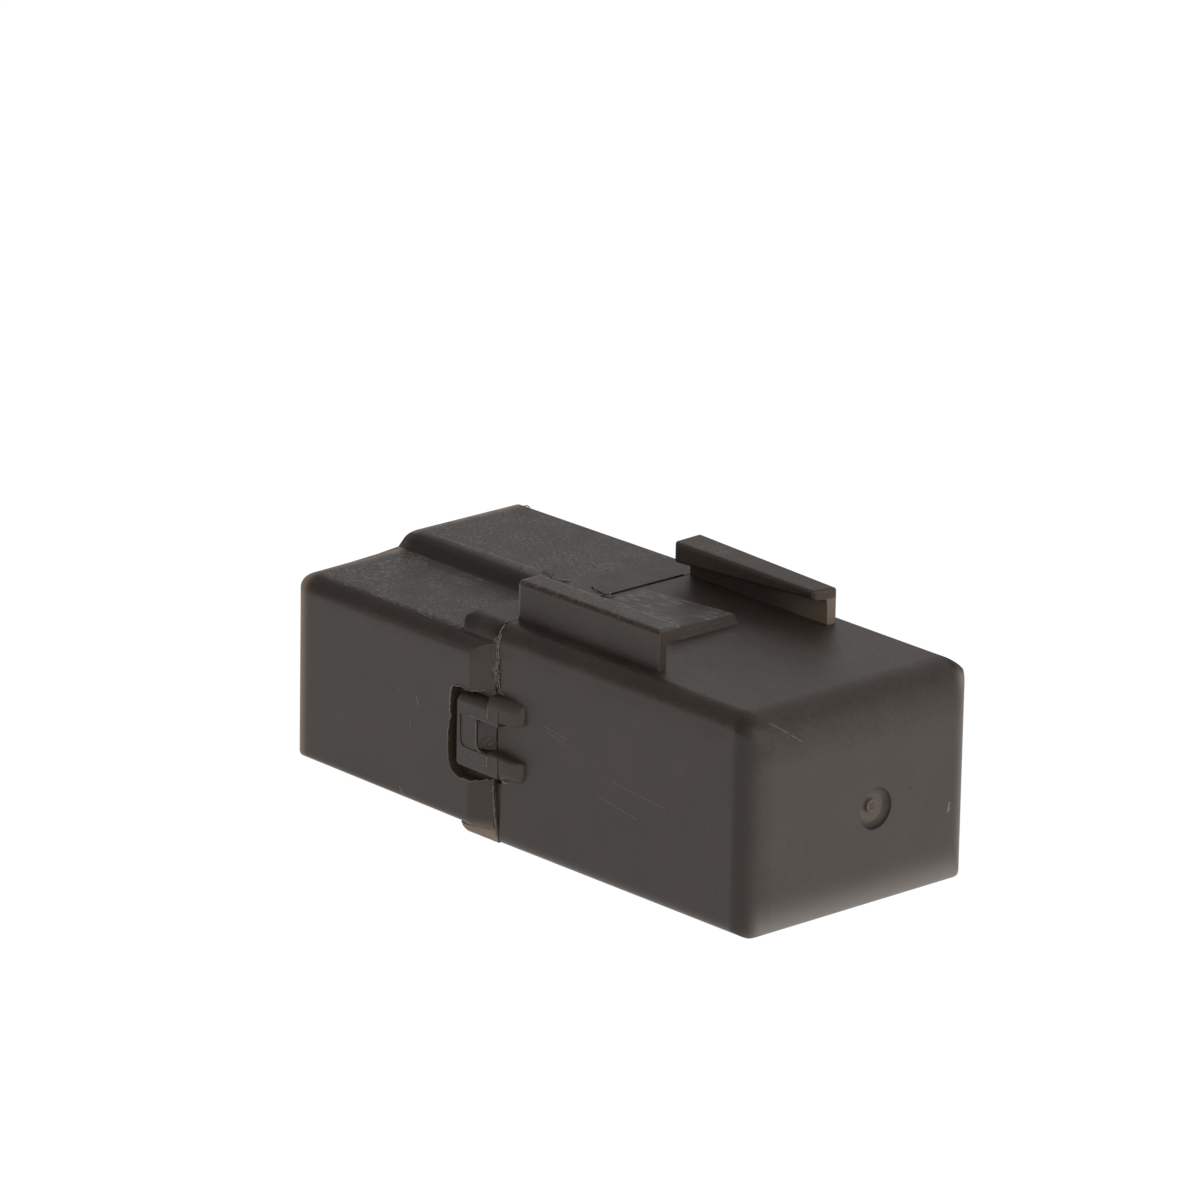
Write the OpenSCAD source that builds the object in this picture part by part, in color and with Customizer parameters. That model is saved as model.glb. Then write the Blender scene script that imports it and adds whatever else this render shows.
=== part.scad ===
// Automotive relay: a moulded cover snapped over a base with its own connector shroud.
// X runs along the length, the connector mouth to -X and the closed end to +X.
// The relay lies on the flat bottom of its cover, with the bracket rails on top.
// Inside modules X is counted from the joint between cover and base, Y from the middle
// of the cover, and Z from the bottom.

/* [Cover] */
// Length of the cover from the joint line to its closed end
cover_l = 33.2; // [30:0.1:45]
// Width of the cover
cover_w = 26; // [25:0.1:34]
// Height of the cover
cover_h = 20.5; // [20:0.1:27]
// Thickness of the moulded walls
wall = 1.3; // [1:0.05:1.6]
// Round along the front top edge
front_top_r = 1.6; // [0.8:0.1:2.4]
// Round along the back top edge
back_top_r = 0.8; // [0.4:0.1:1.5]
// Round along the two bottom edges
bottom_r = 0.7; // [0.4:0.1:1.2]
// Round of the closed end at the top and at its front corner
end_r = 3.2; // [1.5:0.1:4]
// Round of the closed end at its back corner
end_back_r = 0.8; // [0.5:0.1:3]
// Round of the closed end at the bottom
end_bottom_r = 1.1; // [0.5:0.1:2]

/* [Bracket rails] */
// Length of the two rails
rail_l = 18.2; // [14:0.1:24]
// Height of the rails over the cover
rail_h = 3.7; // [3:0.1:5]
// Thickness of the rail webs
rail_web = 0.9; // [0.7:0.05:1.4]
// Thickness of the rail lips
rail_lip_t = 1.3; // [0.8:0.05:1.6]
// Width of a rail from the back of its web to the tip of its lip
rail_reach = 2.7; // [2:0.1:4]
// Front face of the cover to the front rail
front_rail_inset = 2.6; // [1:0.1:4]
// Back face of the cover to the back rail
back_rail_inset = 1.6; // [0.4:0.05:3]
// Length of the lock ramp between the rails
ramp_l = 12.8; // [9:0.1:16]
// Width of the lock ramp
ramp_w = 8.2; // [5:0.1:11]
// Height of the lock ramp at its step
ramp_h = 0.95; // [0.5:0.05:1.5]
// Middle of the cover to the middle of the ramp
ramp_shift = 0.3; // [-1:0.1:2]

/* [Latches] */
// Height of the latches over the bottom
latch_z = 10; // [9:0.1:13]
// Length of the latch tongues past the joint line
tongue_l = 4.3; // [3.6:0.1:5]
// Height of the latch tongues
tongue_h = 6.9; // [6:0.1:8.5]
// Thickness of the front tongue
tongue_t = 1.1; // [0.8:0.05:1.2]
// Length of the window in a tongue
window_l = 1.7; // [1.4:0.1:2.4]
// Height of the window in a tongue
window_h = 2.9; // [2:0.1:3.4]
// Length of the ribs that carry the front tongue
rib_l = 4.3; // [3.6:0.1:8]
// Height of one rib
rib_h = 2.6; // [2:0.1:3.2]
// How far the ribs stand out from the cover
rib_proud = 1.4; // [1:0.1:1.8]
// How far the barbs stand out
barb_proud = 0.9; // [0.5:0.05:1.1]

/* [Gate mark] */
// Diameter of the round gate dimple on the closed end
gate_d = 3.9; // [2:0.1:6]
// Depth of the gate dimple
gate_depth = 0.45; // [0.2:0.05:0.7]
// Diameter of the gate stub
gate_stub_d = 1.1; // [0.6:0.1:1.6]
// Middle of the cover to the gate
gate_y = 2; // [-4:0.1:4]
// Bottom to the gate
gate_z = 9.05; // [6:0.05:14]

/* [Connector shroud] */
// Length of the shroud from the joint line to its mouth
shroud_l = 26.6; // [22:0.1:33]
// How far the shroud's front wall stands out from the cover
shroud_proud = 1.15; // [1:0.05:1.6]
// Bottom of the cover to the bottom of the shroud
shroud_rise = 1.25; // [0.5:0.05:3]
// Top of the cover down to the lower top of the shroud
shroud_drop = 1.4; // [1:0.1:2.5]
// Thickness of the shroud walls
shroud_wall = 1.5; // [1.2:0.1:1.8]
// Round along the shroud's front top edge
shroud_top_r = 1.8; // [1:0.1:2.6]
// Round of the other outer edges of the shroud
shroud_edge_r = 0.6; // [0.3:0.1:1]
// Middle of the cover to the foot of the raised block
block_y = -2.3; // [-5:0.1:2]
// Width of the slope up to the raised block
block_slope = 1.6; // [0.8:0.1:3]
// Length of the collar that closes the cover
collar_l = 5; // [4:0.1:6.5]
// Round under the collar's free edge
collar_r = 1.6; // [0.8:0.1:2.2]
// Length over which the front wall fades into the collar
fade_l = 2.4; // [1.5:0.1:3.5]
// Thickness of the floor that holds the terminals
floor_t = 3; // [2:0.1:4]
// Depth of the relay chamber behind the joint line
chamber_back = 1.5; // [1:0.1:2]
// Length of the rim inside the cover
rim_l = 3.5; // [2:0.1:5]
// Thickness of the rim
rim_t = 1.2; // [0.8:0.1:1.4]

/* [Terminals] */
// Width of a terminal blade
blade_w = 6.3; // [4.8:0.1:6.6]
// Thickness of the terminal blades
blade_t = 0.8; // [0.6:0.05:1]
// Free length of the blades in the connector
blade_l = 14; // [9:0.1:16]
// Middle to middle of the blades in a row
blade_pitch = 7.8; // [7:0.1:8.5]
// Distance between the two rows of blades
row_gap = 7.4; // [6.4:0.1:9]
// Diameter of the hole in a blade
blade_hole_d = 1.6; // [1:0.1:2.2]

/* [Coil] */
// Outer size of the square bobbin flanges
bobbin_s = 12.4; // [11:0.1:13]
// Thickness of the bobbin flanges
flange_t = 1.1; // [0.8:0.1:1.6]
// Diameter of the iron core
core_d = 6; // [4:0.1:7]
// Diameter of the core's pole head
pole_d = 8.8; // [7:0.1:10.5]
// Thickness of the pole head
pole_t = 1.2; // [0.8:0.1:1.8]
// Thickness of the bobbin tube
tube_t = 0.6; // [0.4:0.05:1]
// Outer diameter of the copper winding
winding_d = 11; // [9.2:0.1:11.4]

/* [Magnet frame] */
// Thickness of the yoke plate
yoke_t = 1.8; // [1.2:0.1:2.4]
// Width of the yoke plate
yoke_w = 12; // [10:0.1:14]
// Floor to the yoke's foot
yoke_lift = 3.5; // [2.5:0.1:4.5]
// Thickness of the armature
armature_t = 1.5; // [1:0.1:2]
// Width of the armature
armature_w = 11; // [9:0.1:13]
// Angle by which the armature stands open at rest
open_angle = 3.5; // [2:0.1:5]
// Pole face to the inner face of the cover's closed end
head_room = 6.5; // [6.1:0.1:8]

/* [Contacts] */
// Thickness of the contact leaf
leaf_t = 0.3; // [0.2:0.05:0.5]
// Width of the contact leaf at the contact
leaf_w = 4.5; // [3.4:0.1:5.5]
// Diameter of the contact rivets
contact_d = 3; // [2:0.1:3.6]
// Height of a contact head
contact_h = 0.6; // [0.4:0.05:1]
// Front inner wall to the middle of the contacts
contact_inset = 3; // [2.4:0.1:3.6]
// Width of the contact carriers
carrier_w = 4.4; // [3.6:0.1:5]

/* [Return spring] */
// Outer diameter of the return spring
spring_d = 2.3; // [1.6:0.1:2.6]
// Thickness of the spring wire
spring_wire = 0.4; // [0.3:0.05:0.5]
// Length of the spring between its two hooks
spring_l = 13; // [8:0.1:16]
// Number of turns between the end turns
spring_turns = 14; // [8:1:16]

/* [Small parts] */
// Diameter of the copper braid
braid_d = 1.4; // [1:0.1:1.6]
// Diameter of the suppression resistor
resistor_d = 2.4; // [1.6:0.1:2.4]
// Length of the suppression resistor
resistor_l = 4.8; // [3:0.1:5]
// Diameter of the resistor's lead wires
resistor_wire = 0.6; // [0.4:0.05:0.8]
// Diameter of the coil's lead wires
lead_d = 0.5; // [0.3:0.05:0.7]

/* [Hidden] */
$fn = 48;

// Clearance between two pieces that lie together, and overlap of shapes in one piece
fit = 0.05;
// Clearance between the cover and the rim that it slides over
slide_fit = 0.15;
// Free space kept beside pieces that don't touch
gap = 0.3;
// Overrun of a cut past the face that it opens
cut = 1;

half_w = cover_w / 2;
mid_z = cover_h / 2;
mid_x = (cover_l - shroud_l) / 2;
mid_y = -rib_proud / 2;

// Inside of the cover
inner_y = half_w - wall;
inner_end = cover_l - wall;
chamber_y = inner_y - slide_fit - rim_t;
rim_z = wall + slide_fit;
floor_in = -chamber_back;
floor_out = floor_in - floor_t;

// Rails and ramp
rail_top = cover_h + rail_h;
front_rail_y = -half_w + front_rail_inset;
back_rail_y = half_w - back_rail_inset;

// Shroud
shroud_front = -half_w - shroud_proud;
shroud_top = cover_h - shroud_drop;
cavity_top = cover_h - shroud_wall;

// Latches
notch_gap = 1.1;
notch_r = 1.2;

// Spring, yoke and coil are stacked from the back wall towards the front
spring_y = inner_y - gap - spring_d / 2;
yoke_out = spring_y - spring_d / 2 - fit * 2;
yoke_in = yoke_out - yoke_t;
coil_y = yoke_in - gap - bobbin_s / 2;
yoke_foot = floor_in + yoke_lift;
yoke_tip = inner_end - head_room;
bobbin_start = yoke_foot + yoke_t;
bobbin_end = yoke_tip - pole_t - fit;

// Armature group, drawn closed against the pole and turned open about the yoke's corner
hinge = [yoke_tip, yoke_out];
leaf_x = yoke_tip + armature_t;
armature_end = coil_y - pole_d / 2 - 1;
contact_y = -inner_y + contact_inset;
tail_w = 1;
tail_out = 0.4;
hook_y = spring_y + 0.3;
braid_z = mid_z + armature_w / 2 - braid_d;
braid_slot = braid_z - braid_d / 2 - gap;
contact_clear = 0.08;
contact_swing = (hinge.y - contact_y + contact_d / 2) * sin(open_angle);
open_face = leaf_x - contact_h - contact_clear;
closed_face = leaf_x + leaf_t + contact_h + contact_swing + fit;
rivet_z = 2.6;
rivet_d = 1.4;
rivet_head = 0.4;

// Terminals
row_z = [mid_z - row_gap / 2, mid_z + row_gap / 2];
blade_y = [-blade_pitch, 0, blade_pitch];
row_shift = -0.4;
lug_w = 1;
lug_y = (yoke_out + chamber_y) / 2;
carrier_y = 2 * fit - chamber_y;
common_w = 3.6;

// The resistor stands between the yoke's back and the cover, past the rim
resistor_x = rim_l + gap + resistor_d / 2;
resistor_y = (yoke_out + inner_y) / 2;
lug_end = resistor_x + 1;

// Turns the profile's plane so that it is drawn in Y and Z and runs along X
module along_x(x0, x1) {
    translate([x0, 0, 0])
        rotate([90, 0, 90])
            linear_extrude(x1 - x0)
                children();
}

// The profile is drawn in X and Z and runs along Y
module along_y(y0, y1) {
    translate([0, y1, 0])
        rotate([90, 0, 0])
            linear_extrude(y1 - y0)
                children();
}

// The profile is drawn in X and Y and runs along Z
module along_z(z0, z1) {
    translate([0, 0, z0])
        linear_extrude(z1 - z0)
            children();
}

module block(lo, hi) {
    translate(lo)
        cube(hi - lo);
}

// A round bar along X
module bar_x(x0, x1, y, z, d) {
    translate([x0, y, z])
        rotate([0, 90, 0])
            cylinder(h = x1 - x0, d = d);
}

// A rectangle with its own round at each corner, counted from the low corner round by +X
module rounded_rect(lo, hi, r) {
    corners = [lo, [hi.x, lo.y], hi, [lo.x, hi.y]];
    along = [[1, 0], [0, 1], [-1, 0], [0, -1]];
    back = [[0, 1], [-1, 0], [0, -1], [1, 0]];
    polygon([for (i = [0:3], p = r[i] > 0
        ? [corners[i] + r[i] * back[i], corners[i] + r[i] * along[i]]
        : [corners[i]]) p]);
    for (i = [0:3])
        if (r[i] > 0)
            translate(corners[i] + r[i] * (along[i] + back[i]))
                circle(r[i]);
}

// A smooth step from one point to another, level at both ends
function smooth_step(a, b, n) =
    [for (i = [0:n]) [a.x + (b.x - a.x) * i / n, a.y + (b.y - a.y) * (1 - cos(180 * i / n)) / 2]];

// Puts the origin under the middle of the whole part
module in_frame() {
    translate([-mid_x, -mid_y, 0])
        children();
}

// Turns the armature group open about the yoke's corner
module opened() {
    translate([hinge.x, hinge.y, 0])
        rotate([0, 0, open_angle])
            translate([-hinge.x, -hinge.y, 0])
                children();
}

module cover_outline() {
    rounded_rect([-half_w, 0], [half_w, cover_h], [bottom_r, bottom_r, back_top_r, front_top_r]);
}

module cover_shell() {
    difference() {
        intersection() {
            along_x(0, cover_l)
                cover_outline();
            along_y(-half_w, half_w)
                rounded_rect([0, 0], [cover_l, cover_h], [0, end_bottom_r, end_r, 0]);
            along_z(0, cover_h)
                rounded_rect([0, -half_w], [cover_l, half_w], [0, end_r, end_back_r, 0]);
        }
        block([-cut, -inner_y, wall], [inner_end, inner_y, cover_h - wall]);
    }
}

// One bracket rail: side is 1 where the lip points to +Y and -1 where it points to -Y
module rail(y, side) {
    translate([0, y, 0])
        mirror([0, side > 0 ? 0 : 1, 0])
            along_x(0, rail_l)
                difference() {
                    rounded_rect([0, cover_h - wall / 2], [rail_reach, rail_top], [0, 0, 0.2, 0.5]);
                    translate([rail_web, cover_h - wall])
                        square([rail_reach, wall + rail_h - rail_lip_t]);
                }
}

module lock_ramp() {
    along_y(ramp_shift - ramp_w / 2, ramp_shift + ramp_w / 2)
        polygon([[0, cover_h - wall / 2], [ramp_l, cover_h - wall / 2], [ramp_l, cover_h + ramp_h],
            [0, cover_h]]);
}

// The tongue's outline with its window, seen from the front
module tongue_outline() {
    difference() {
        rounded_rect([-tongue_l, latch_z - tongue_h / 2], [wall, latch_z + tongue_h / 2],
            [0.8, 0, 0, 0.8]);
        translate([-window_l, latch_z - window_h / 2])
            square([window_l + wall + cut, window_h]);
    }
}

// One of the two ribs that stand on the cover's front face and run into the tongue
module latch_rib(side) {
    translate([0, 0, latch_z])
        mirror([0, 0, side > 0 ? 0 : 1])
            intersection() {
                along_x(0, rib_l)
                    rounded_rect([-half_w - rib_proud, window_h / 2],
                        [-half_w + wall / 2, window_h / 2 + rib_h], [0.3, 0, 0, 1.2]);
                along_z(0, window_h / 2 + rib_h)
                    rounded_rect([0, -half_w - rib_proud], [rib_l, -half_w + wall / 2],
                        [0, 1.1, 0, 0]);
            }
}

module gate_cut() {
    bar_x(cover_l - gate_depth, cover_l + cut, gate_y, gate_z, gate_d);
}

module cover() {
    color([0.29, 0.275, 0.26])
        in_frame()
            union() {
                difference() {
                    cover_shell();
                    gate_cut();
                }
                bar_x(cover_l - gate_depth - fit, cover_l - 0.1, gate_y, gate_z, gate_stub_d);
                rail(front_rail_y, 1);
                rail(back_rail_y, -1);
                lock_ramp();
                along_y(-half_w - fit - tongue_t, -half_w - fit)
                    tongue_outline();
                along_y(inner_y + fit, half_w)
                    tongue_outline();
                for (side = [-1, 1])
                    latch_rib(side);
            }
}

module shroud_outline() {
    rounded_rect([shroud_front, shroud_rise], [half_w, shroud_top],
        [shroud_edge_r, shroud_edge_r, 0, shroud_top_r]);
    polygon(concat(smooth_step([block_y, shroud_top], [block_y + block_slope, cover_h], 12),
        [[half_w - back_top_r, cover_h], [half_w, cover_h - back_top_r], [half_w, mid_z],
        [block_y, mid_z]]));
    translate([half_w - back_top_r, cover_h - back_top_r])
        circle(back_top_r);
}

// Outer shape of the shroud, with its front wall fading into the collar
module shroud_shape() {
    intersection() {
        along_x(-shroud_l, -fit)
            shroud_outline();
        along_y(shroud_front, half_w)
            rounded_rect([-shroud_l, shroud_rise], [-fit, cover_h],
                [shroud_edge_r, 0, 0, shroud_edge_r]);
        along_z(shroud_rise, cover_h)
            polygon([[-shroud_l, half_w], [-shroud_l, shroud_front + shroud_edge_r],
                [-shroud_l + shroud_edge_r, shroud_front], [-fade_l, shroud_front],
                [-fit, -half_w], [-fit, half_w]]);
    }
}

module collar() {
    intersection() {
        along_x(-collar_l, 0)
            cover_outline();
        along_y(-half_w, half_w)
            rounded_rect([-collar_l, 0], [0, cover_h], [collar_r, 0, 0, 0.5]);
        along_z(0, cover_h)
            rounded_rect([-collar_l, -half_w], [0, half_w], [0.5, 0, 0, 0.5]);
    }
}

module connector_cavity() {
    along_x(-shroud_l - cut, floor_out)
        union() {
            rounded_rect([shroud_front + shroud_wall, shroud_rise + shroud_wall],
                [half_w - shroud_wall, shroud_top - shroud_wall], [0.5, 0.5, 0.5, 0.5]);
            rounded_rect([block_y + block_slope, mid_z],
                [half_w - shroud_wall, cavity_top], [0, 0, 0.5, 0.5]);
        }
}

module rim() {
    block([-fit, -inner_y + slide_fit, rim_z], [rim_l, inner_y - slide_fit, cover_h - rim_z]);
}

module chamber_pocket() {
    block([floor_in, -chamber_y, rim_z + rim_t], [rim_l + cut, chamber_y, cover_h - rim_z - rim_t]);
}

// The notch round the front tongue and the recess that takes the back tongue
module tongue_cuts() {
    along_y(shroud_front - cut, -half_w)
        rounded_rect([-tongue_l - notch_gap, latch_z - tongue_h / 2 - notch_gap],
            [cut, latch_z + tongue_h / 2 + notch_gap * 0.8], [notch_r, 0, 0, notch_r]);
    along_y(inner_y - fit, half_w + cut)
        rounded_rect([-tongue_l - gap, latch_z - tongue_h / 2 - gap],
            [cut, latch_z + tongue_h / 2 + gap], [notch_r, 0, 0, notch_r]);
}

// A barb that rises towards the mouth and catches the far side of the window
module barb(face, side) {
    translate([0, face, 0])
        mirror([0, side > 0 ? 0 : 1, 0])
            along_z(latch_z - window_h / 2 + fit * 3, latch_z + window_h / 2 - fit * 3)
                polygon([[-fit, -fit], [-fit, 0.1], [-window_l + fit * 2, barb_proud],
                    [-window_l + fit * 2, -fit]]);
}

module terminal_slots() {
    for (i = [0:2])
        terminal_slot(blade_y[i], row_z[0]);
    for (i = [0, 2])
        terminal_slot(blade_y[i], row_z[1]);
}

module terminal_slot(y, z) {
    block([floor_out - cut, y + row_shift - blade_w / 2 - fit, z - blade_t / 2 - fit],
        [floor_in + cut, y + row_shift + blade_w / 2 + fit, z + blade_t / 2 + fit]);
}

// The nib inside the raised block that holds the mating plug
module plug_nib() {
    nib_x = -shroud_l + 6;
    along_y(half_w / 2 - 2.2, half_w / 2 + 2.2)
        polygon([[nib_x, cavity_top + fit], [nib_x + 3, cavity_top + fit],
            [nib_x + 3, cavity_top - 0.8], [nib_x + 2.4, cavity_top - 0.8]]);
}

// Posts on the floor that carry the yoke's foot, on both sides of the common terminal
module yoke_posts() {
    post_d = 2;
    post_y = [row_shift - common_w / 2 - gap - post_d / 2, yoke_in - gap - post_d / 2];
    post_z = (row_gap + blade_t + post_d) / 2 + 2 * fit;
    for (y = post_y, side = [-1, 1])
        bar_x(floor_in - fit, yoke_foot, y, mid_z + side * post_z, post_d);
}

module connector_housing() {
    color([0.30, 0.285, 0.27])
        in_frame()
            union() {
                difference() {
                    union() {
                        shroud_shape();
                        collar();
                        rim();
                    }
                    connector_cavity();
                    chamber_pocket();
                    tongue_cuts();
                    terminal_slots();
                }
                barb(-half_w, -1);
                barb(inner_y - fit, 1);
                plug_nib();
                yoke_posts();
            }
}

module coil_bobbin() {
    color([0.85, 0.83, 0.76])
        in_frame()
            difference() {
                union() {
                    for (x = [bobbin_start, bobbin_end - flange_t])
                        along_x(x, x + flange_t)
                            rounded_rect([coil_y - bobbin_s / 2, mid_z - bobbin_s / 2],
                                [coil_y + bobbin_s / 2, mid_z + bobbin_s / 2], [1, 1, 1, 1]);
                    bar_x(bobbin_start, bobbin_end, coil_y, mid_z, core_d + 2 * (tube_t + fit));
                    for (side = [-1, 1])
                        bobbin_lug(side);
                }
                bar_x(bobbin_start - cut, bobbin_end + cut, coil_y, mid_z, core_d + 2 * fit);
            }
}

// Lug on the lower flange that anchors one end of the coil wire
module bobbin_lug(side) {
    lug_z = mid_z + side * bobbin_s / 2;
    block([bobbin_start, coil_y + 2, min(lug_z - side * 0.5, lug_z + side * 1.1)],
        [bobbin_start + flange_t, coil_y + 4.6, max(lug_z - side * 0.5, lug_z + side * 1.1)]);
}

module coil_winding() {
    color([0.62, 0.28, 0.12])
        in_frame()
            difference() {
                bar_x(bobbin_start + flange_t + fit, bobbin_end - flange_t - fit, coil_y, mid_z,
                    winding_d);
                bar_x(bobbin_start, bobbin_end, coil_y, mid_z, core_d + 2 * (tube_t + 2 * fit));
            }
}

module iron_core() {
    color([0.55, 0.55, 0.56])
        in_frame()
            union() {
                bar_x(yoke_foot - 0.4, yoke_tip, coil_y, mid_z, core_d);
                bar_x(yoke_tip - pole_t, yoke_tip, coil_y, mid_z, pole_d);
            }
}

module yoke() {
    color([0.52, 0.53, 0.54])
        in_frame()
            difference() {
                union() {
                    along_z(mid_z - yoke_w / 2, mid_z + yoke_w / 2)
                        rounded_rect([yoke_foot, yoke_in], [yoke_tip, yoke_out], [0, 0, 0, 1]);
                    block([yoke_foot, coil_y - core_d / 2 - 2.4, mid_z - yoke_w / 2],
                        [bobbin_start, yoke_in + fit, mid_z + yoke_w / 2]);
                    spring_lug(yoke_tip - spring_l - blade_t);
                }
                bar_x(yoke_foot - cut, bobbin_start + cut, coil_y, mid_z, core_d + fit);
            }
}

// Lug on the yoke's back that the spring's end turn hooks on
module spring_lug(x) {
    block([x, yoke_out - fit, mid_z - tail_w / 2], [x + blade_t, hook_y, mid_z + tail_w / 2]);
}

module armature() {
    color([0.60, 0.60, 0.61])
        in_frame()
            opened()
                difference() {
                    union() {
                        block([yoke_tip, armature_end, mid_z - armature_w / 2],
                            [leaf_x, yoke_out, mid_z + armature_w / 2]);
                        spring_lug(yoke_tip + tail_out);
                    }
                    block([yoke_tip - cut, yoke_out - 3.6, braid_slot],
                        [leaf_x + cut, yoke_out + cut, mid_z + yoke_w]);
                }
}

// The leaf is broad on the armature and narrow at the contact
module contact_leaf() {
    color([0.78, 0.52, 0.24])
        in_frame()
            opened()
                difference() {
                    union() {
                        block([leaf_x, armature_end + 1, mid_z - armature_w / 2 + 1],
                            [leaf_x + leaf_t, coil_y + 3.4, mid_z + armature_w / 2 - 1]);
                        block([leaf_x, contact_y - leaf_w / 2 + 0.5, mid_z - leaf_w / 2],
                            [leaf_x + leaf_t, armature_end + 2, mid_z + leaf_w / 2]);
                    }
                    for (side = [-1, 1])
                        bar_x(leaf_x - cut, leaf_x + cut, coil_y, mid_z + side * rivet_z,
                            rivet_d + 2 * fit);
                    bar_x(leaf_x - cut, leaf_x + cut, contact_y, mid_z, contact_d / 2 + 2 * fit);
                }
}

module leaf_rivet(z) {
    head_x = leaf_x + leaf_t;
    bar_x(leaf_x, head_x + rivet_head, coil_y, z, rivet_d);
    bar_x(head_x, head_x + rivet_head, coil_y, z, rivet_d + 2 * rivet_head);
}

// Two rivets that hold the leaf on the armature
module leaf_rivets() {
    color([0.66, 0.66, 0.67])
        in_frame()
            opened()
                for (side = [-1, 1])
                    leaf_rivet(mid_z + side * rivet_z);
}

module moving_contact() {
    color([0.78, 0.78, 0.76])
        in_frame()
            opened()
                union() {
                    bar_x(leaf_x - contact_h, leaf_x, contact_y, mid_z, contact_d);
                    bar_x(leaf_x - fit, leaf_x + leaf_t + fit, contact_y, mid_z, contact_d / 2);
                    bar_x(leaf_x + leaf_t, leaf_x + leaf_t + contact_h, contact_y, mid_z, contact_d);
                }
}

// Place of the spring wire at turn t: a wide turn at each end hooks over the lug and the tail
end_pitch = 2.2;
spring_start = yoke_tip - spring_l - blade_t / 2 - end_pitch / 2;
spring_pitch = (spring_l + blade_t + tail_out - end_pitch) / spring_turns;
function spring_angle(t) = 180 + 360 * t;
function spring_x(t) = spring_start
    + end_pitch * min(t, 1)
    + spring_pitch * min(max(t - 1, 0), spring_turns)
    + end_pitch * max(t - 1 - spring_turns, 0);
function spring_point(t) = [spring_x(t), spring_y + spring_ring * cos(spring_angle(t)),
    mid_z + spring_ring * sin(spring_angle(t))];
spring_ring = (spring_d - spring_wire) / 2;
spring_steps = 12;
spring_sides = 6;
spring_rings = (spring_turns + 2) * spring_steps;

module return_spring() {
    points = [for (i = [0:spring_rings], k = [0:spring_sides - 1])
        let (t = i / spring_steps, a = 360 * k / spring_sides,
            out = [0, cos(spring_angle(t)), sin(spring_angle(t))])
        spring_point(t) + spring_wire / 2 * (cos(a) * out + sin(a) * [1, 0, 0])];
    side_faces = [for (i = [0:spring_rings - 1], k = [0:spring_sides - 1])
        let (n = (k + 1) % spring_sides, a = i * spring_sides)
        [a + k, a + n, a + n + spring_sides, a + k + spring_sides]];
    start_face = [for (k = [spring_sides - 1:-1:0]) k];
    end_face = [for (k = [0:spring_sides - 1]) spring_rings * spring_sides + k];
    color([0.70, 0.70, 0.70])
        in_frame()
            polyhedron(points, concat([start_face], side_faces, [end_face]));
}

// The braid runs along the yoke's back, round its tip and onto the leaf
module copper_braid() {
    bend = 1.5;
    run_y = yoke_out + braid_d / 2;
    bend_x = leaf_x;
    end_y = coil_y + 1.8;
    color([0.72, 0.42, 0.22])
        in_frame()
            union() {
                bar_x(yoke_tip - 6, bend_x, run_y, braid_z, braid_d);
                translate([bend_x, run_y - bend, braid_z])
                    rotate_extrude(angle = 90)
                        translate([bend, 0])
                            circle(d = braid_d);
                translate([bend_x + bend, end_y, braid_z])
                    rotate([-90, 0, 0])
                        cylinder(h = run_y - bend - end_y, d = braid_d);
            }
}

// Blade of a terminal from its tip to the inner face of the floor
module blade(y, z) {
    tip = floor_out - blade_l;
    difference() {
        intersection() {
            block([tip, y + row_shift - blade_w / 2, z - blade_t / 2],
                [floor_in, y + row_shift + blade_w / 2, z + blade_t / 2]);
            along_y(y + row_shift - blade_w / 2, y + row_shift + blade_w / 2)
                polygon([[tip, z - blade_t / 6], [tip + 1.2, z - blade_t / 2],
                    [floor_in, z - blade_t / 2], [floor_in, z + blade_t / 2],
                    [tip + 1.2, z + blade_t / 2], [tip, z + blade_t / 6]]);
            along_z(z - blade_t, z + blade_t)
                translate([0, y + row_shift])
                    polygon([[tip, -blade_w / 2 + 1], [tip + 1, -blade_w / 2],
                        [floor_in, -blade_w / 2], [floor_in, blade_w / 2],
                        [tip + 1, blade_w / 2], [tip, blade_w / 2 - 1]]);
        }
        translate([tip + 3.8, y + row_shift, z - blade_t])
            cylinder(h = 2 * blade_t, d = blade_hole_d);
    }
}

// A tab lies in its blade's plane and reaches into the slot only where the blade fills it
module tab(column, z, y0, y1, end_x) {
    y = blade_y[column] + row_shift;
    block([floor_in, y0, z - blade_t / 2], [end_x, y1, z + blade_t / 2]);
    block([floor_in - fit, max(y0, y - blade_w / 2), z - blade_t / 2],
        [floor_in + fit, min(y1, y + blade_w / 2), z + blade_t / 2]);
}

// A carrier runs from its blade's plane to a flat head that faces the moving contact
module carrier(z, side, head_x) {
    edge_y = contact_y + carrier_w / 2;
    edge_z = mid_z - side * carrier_w / 2;
    tab(0, z, carrier_y, edge_y, head_x + blade_t);
    block([head_x, carrier_y, min(z, edge_z)], [head_x + blade_t, edge_y, max(z, edge_z)]);
}

module open_terminal() {
    color([0.74, 0.62, 0.34])
        in_frame()
            difference() {
                union() {
                    blade(blade_y[0], row_z[1]);
                    carrier(row_z[1], 1, open_face - contact_h - blade_t);
                }
                bar_x(open_face - 3, open_face, contact_y, mid_z, contact_d / 2 + 2 * fit);
            }
}

module open_contact() {
    color([0.80, 0.80, 0.78])
        in_frame()
            union() {
                bar_x(open_face - contact_h, open_face, contact_y, mid_z, contact_d);
                bar_x(open_face - contact_h - blade_t, open_face - contact_h + fit, contact_y, mid_z,
                    contact_d / 2);
            }
}

module closed_terminal() {
    color([0.74, 0.62, 0.34])
        in_frame()
            difference() {
                union() {
                    blade(blade_y[0], row_z[0]);
                    carrier(row_z[0], -1, closed_face + contact_h);
                }
                bar_x(closed_face, closed_face + 3, contact_y, mid_z, contact_d / 2 + 2 * fit);
            }
}

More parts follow.
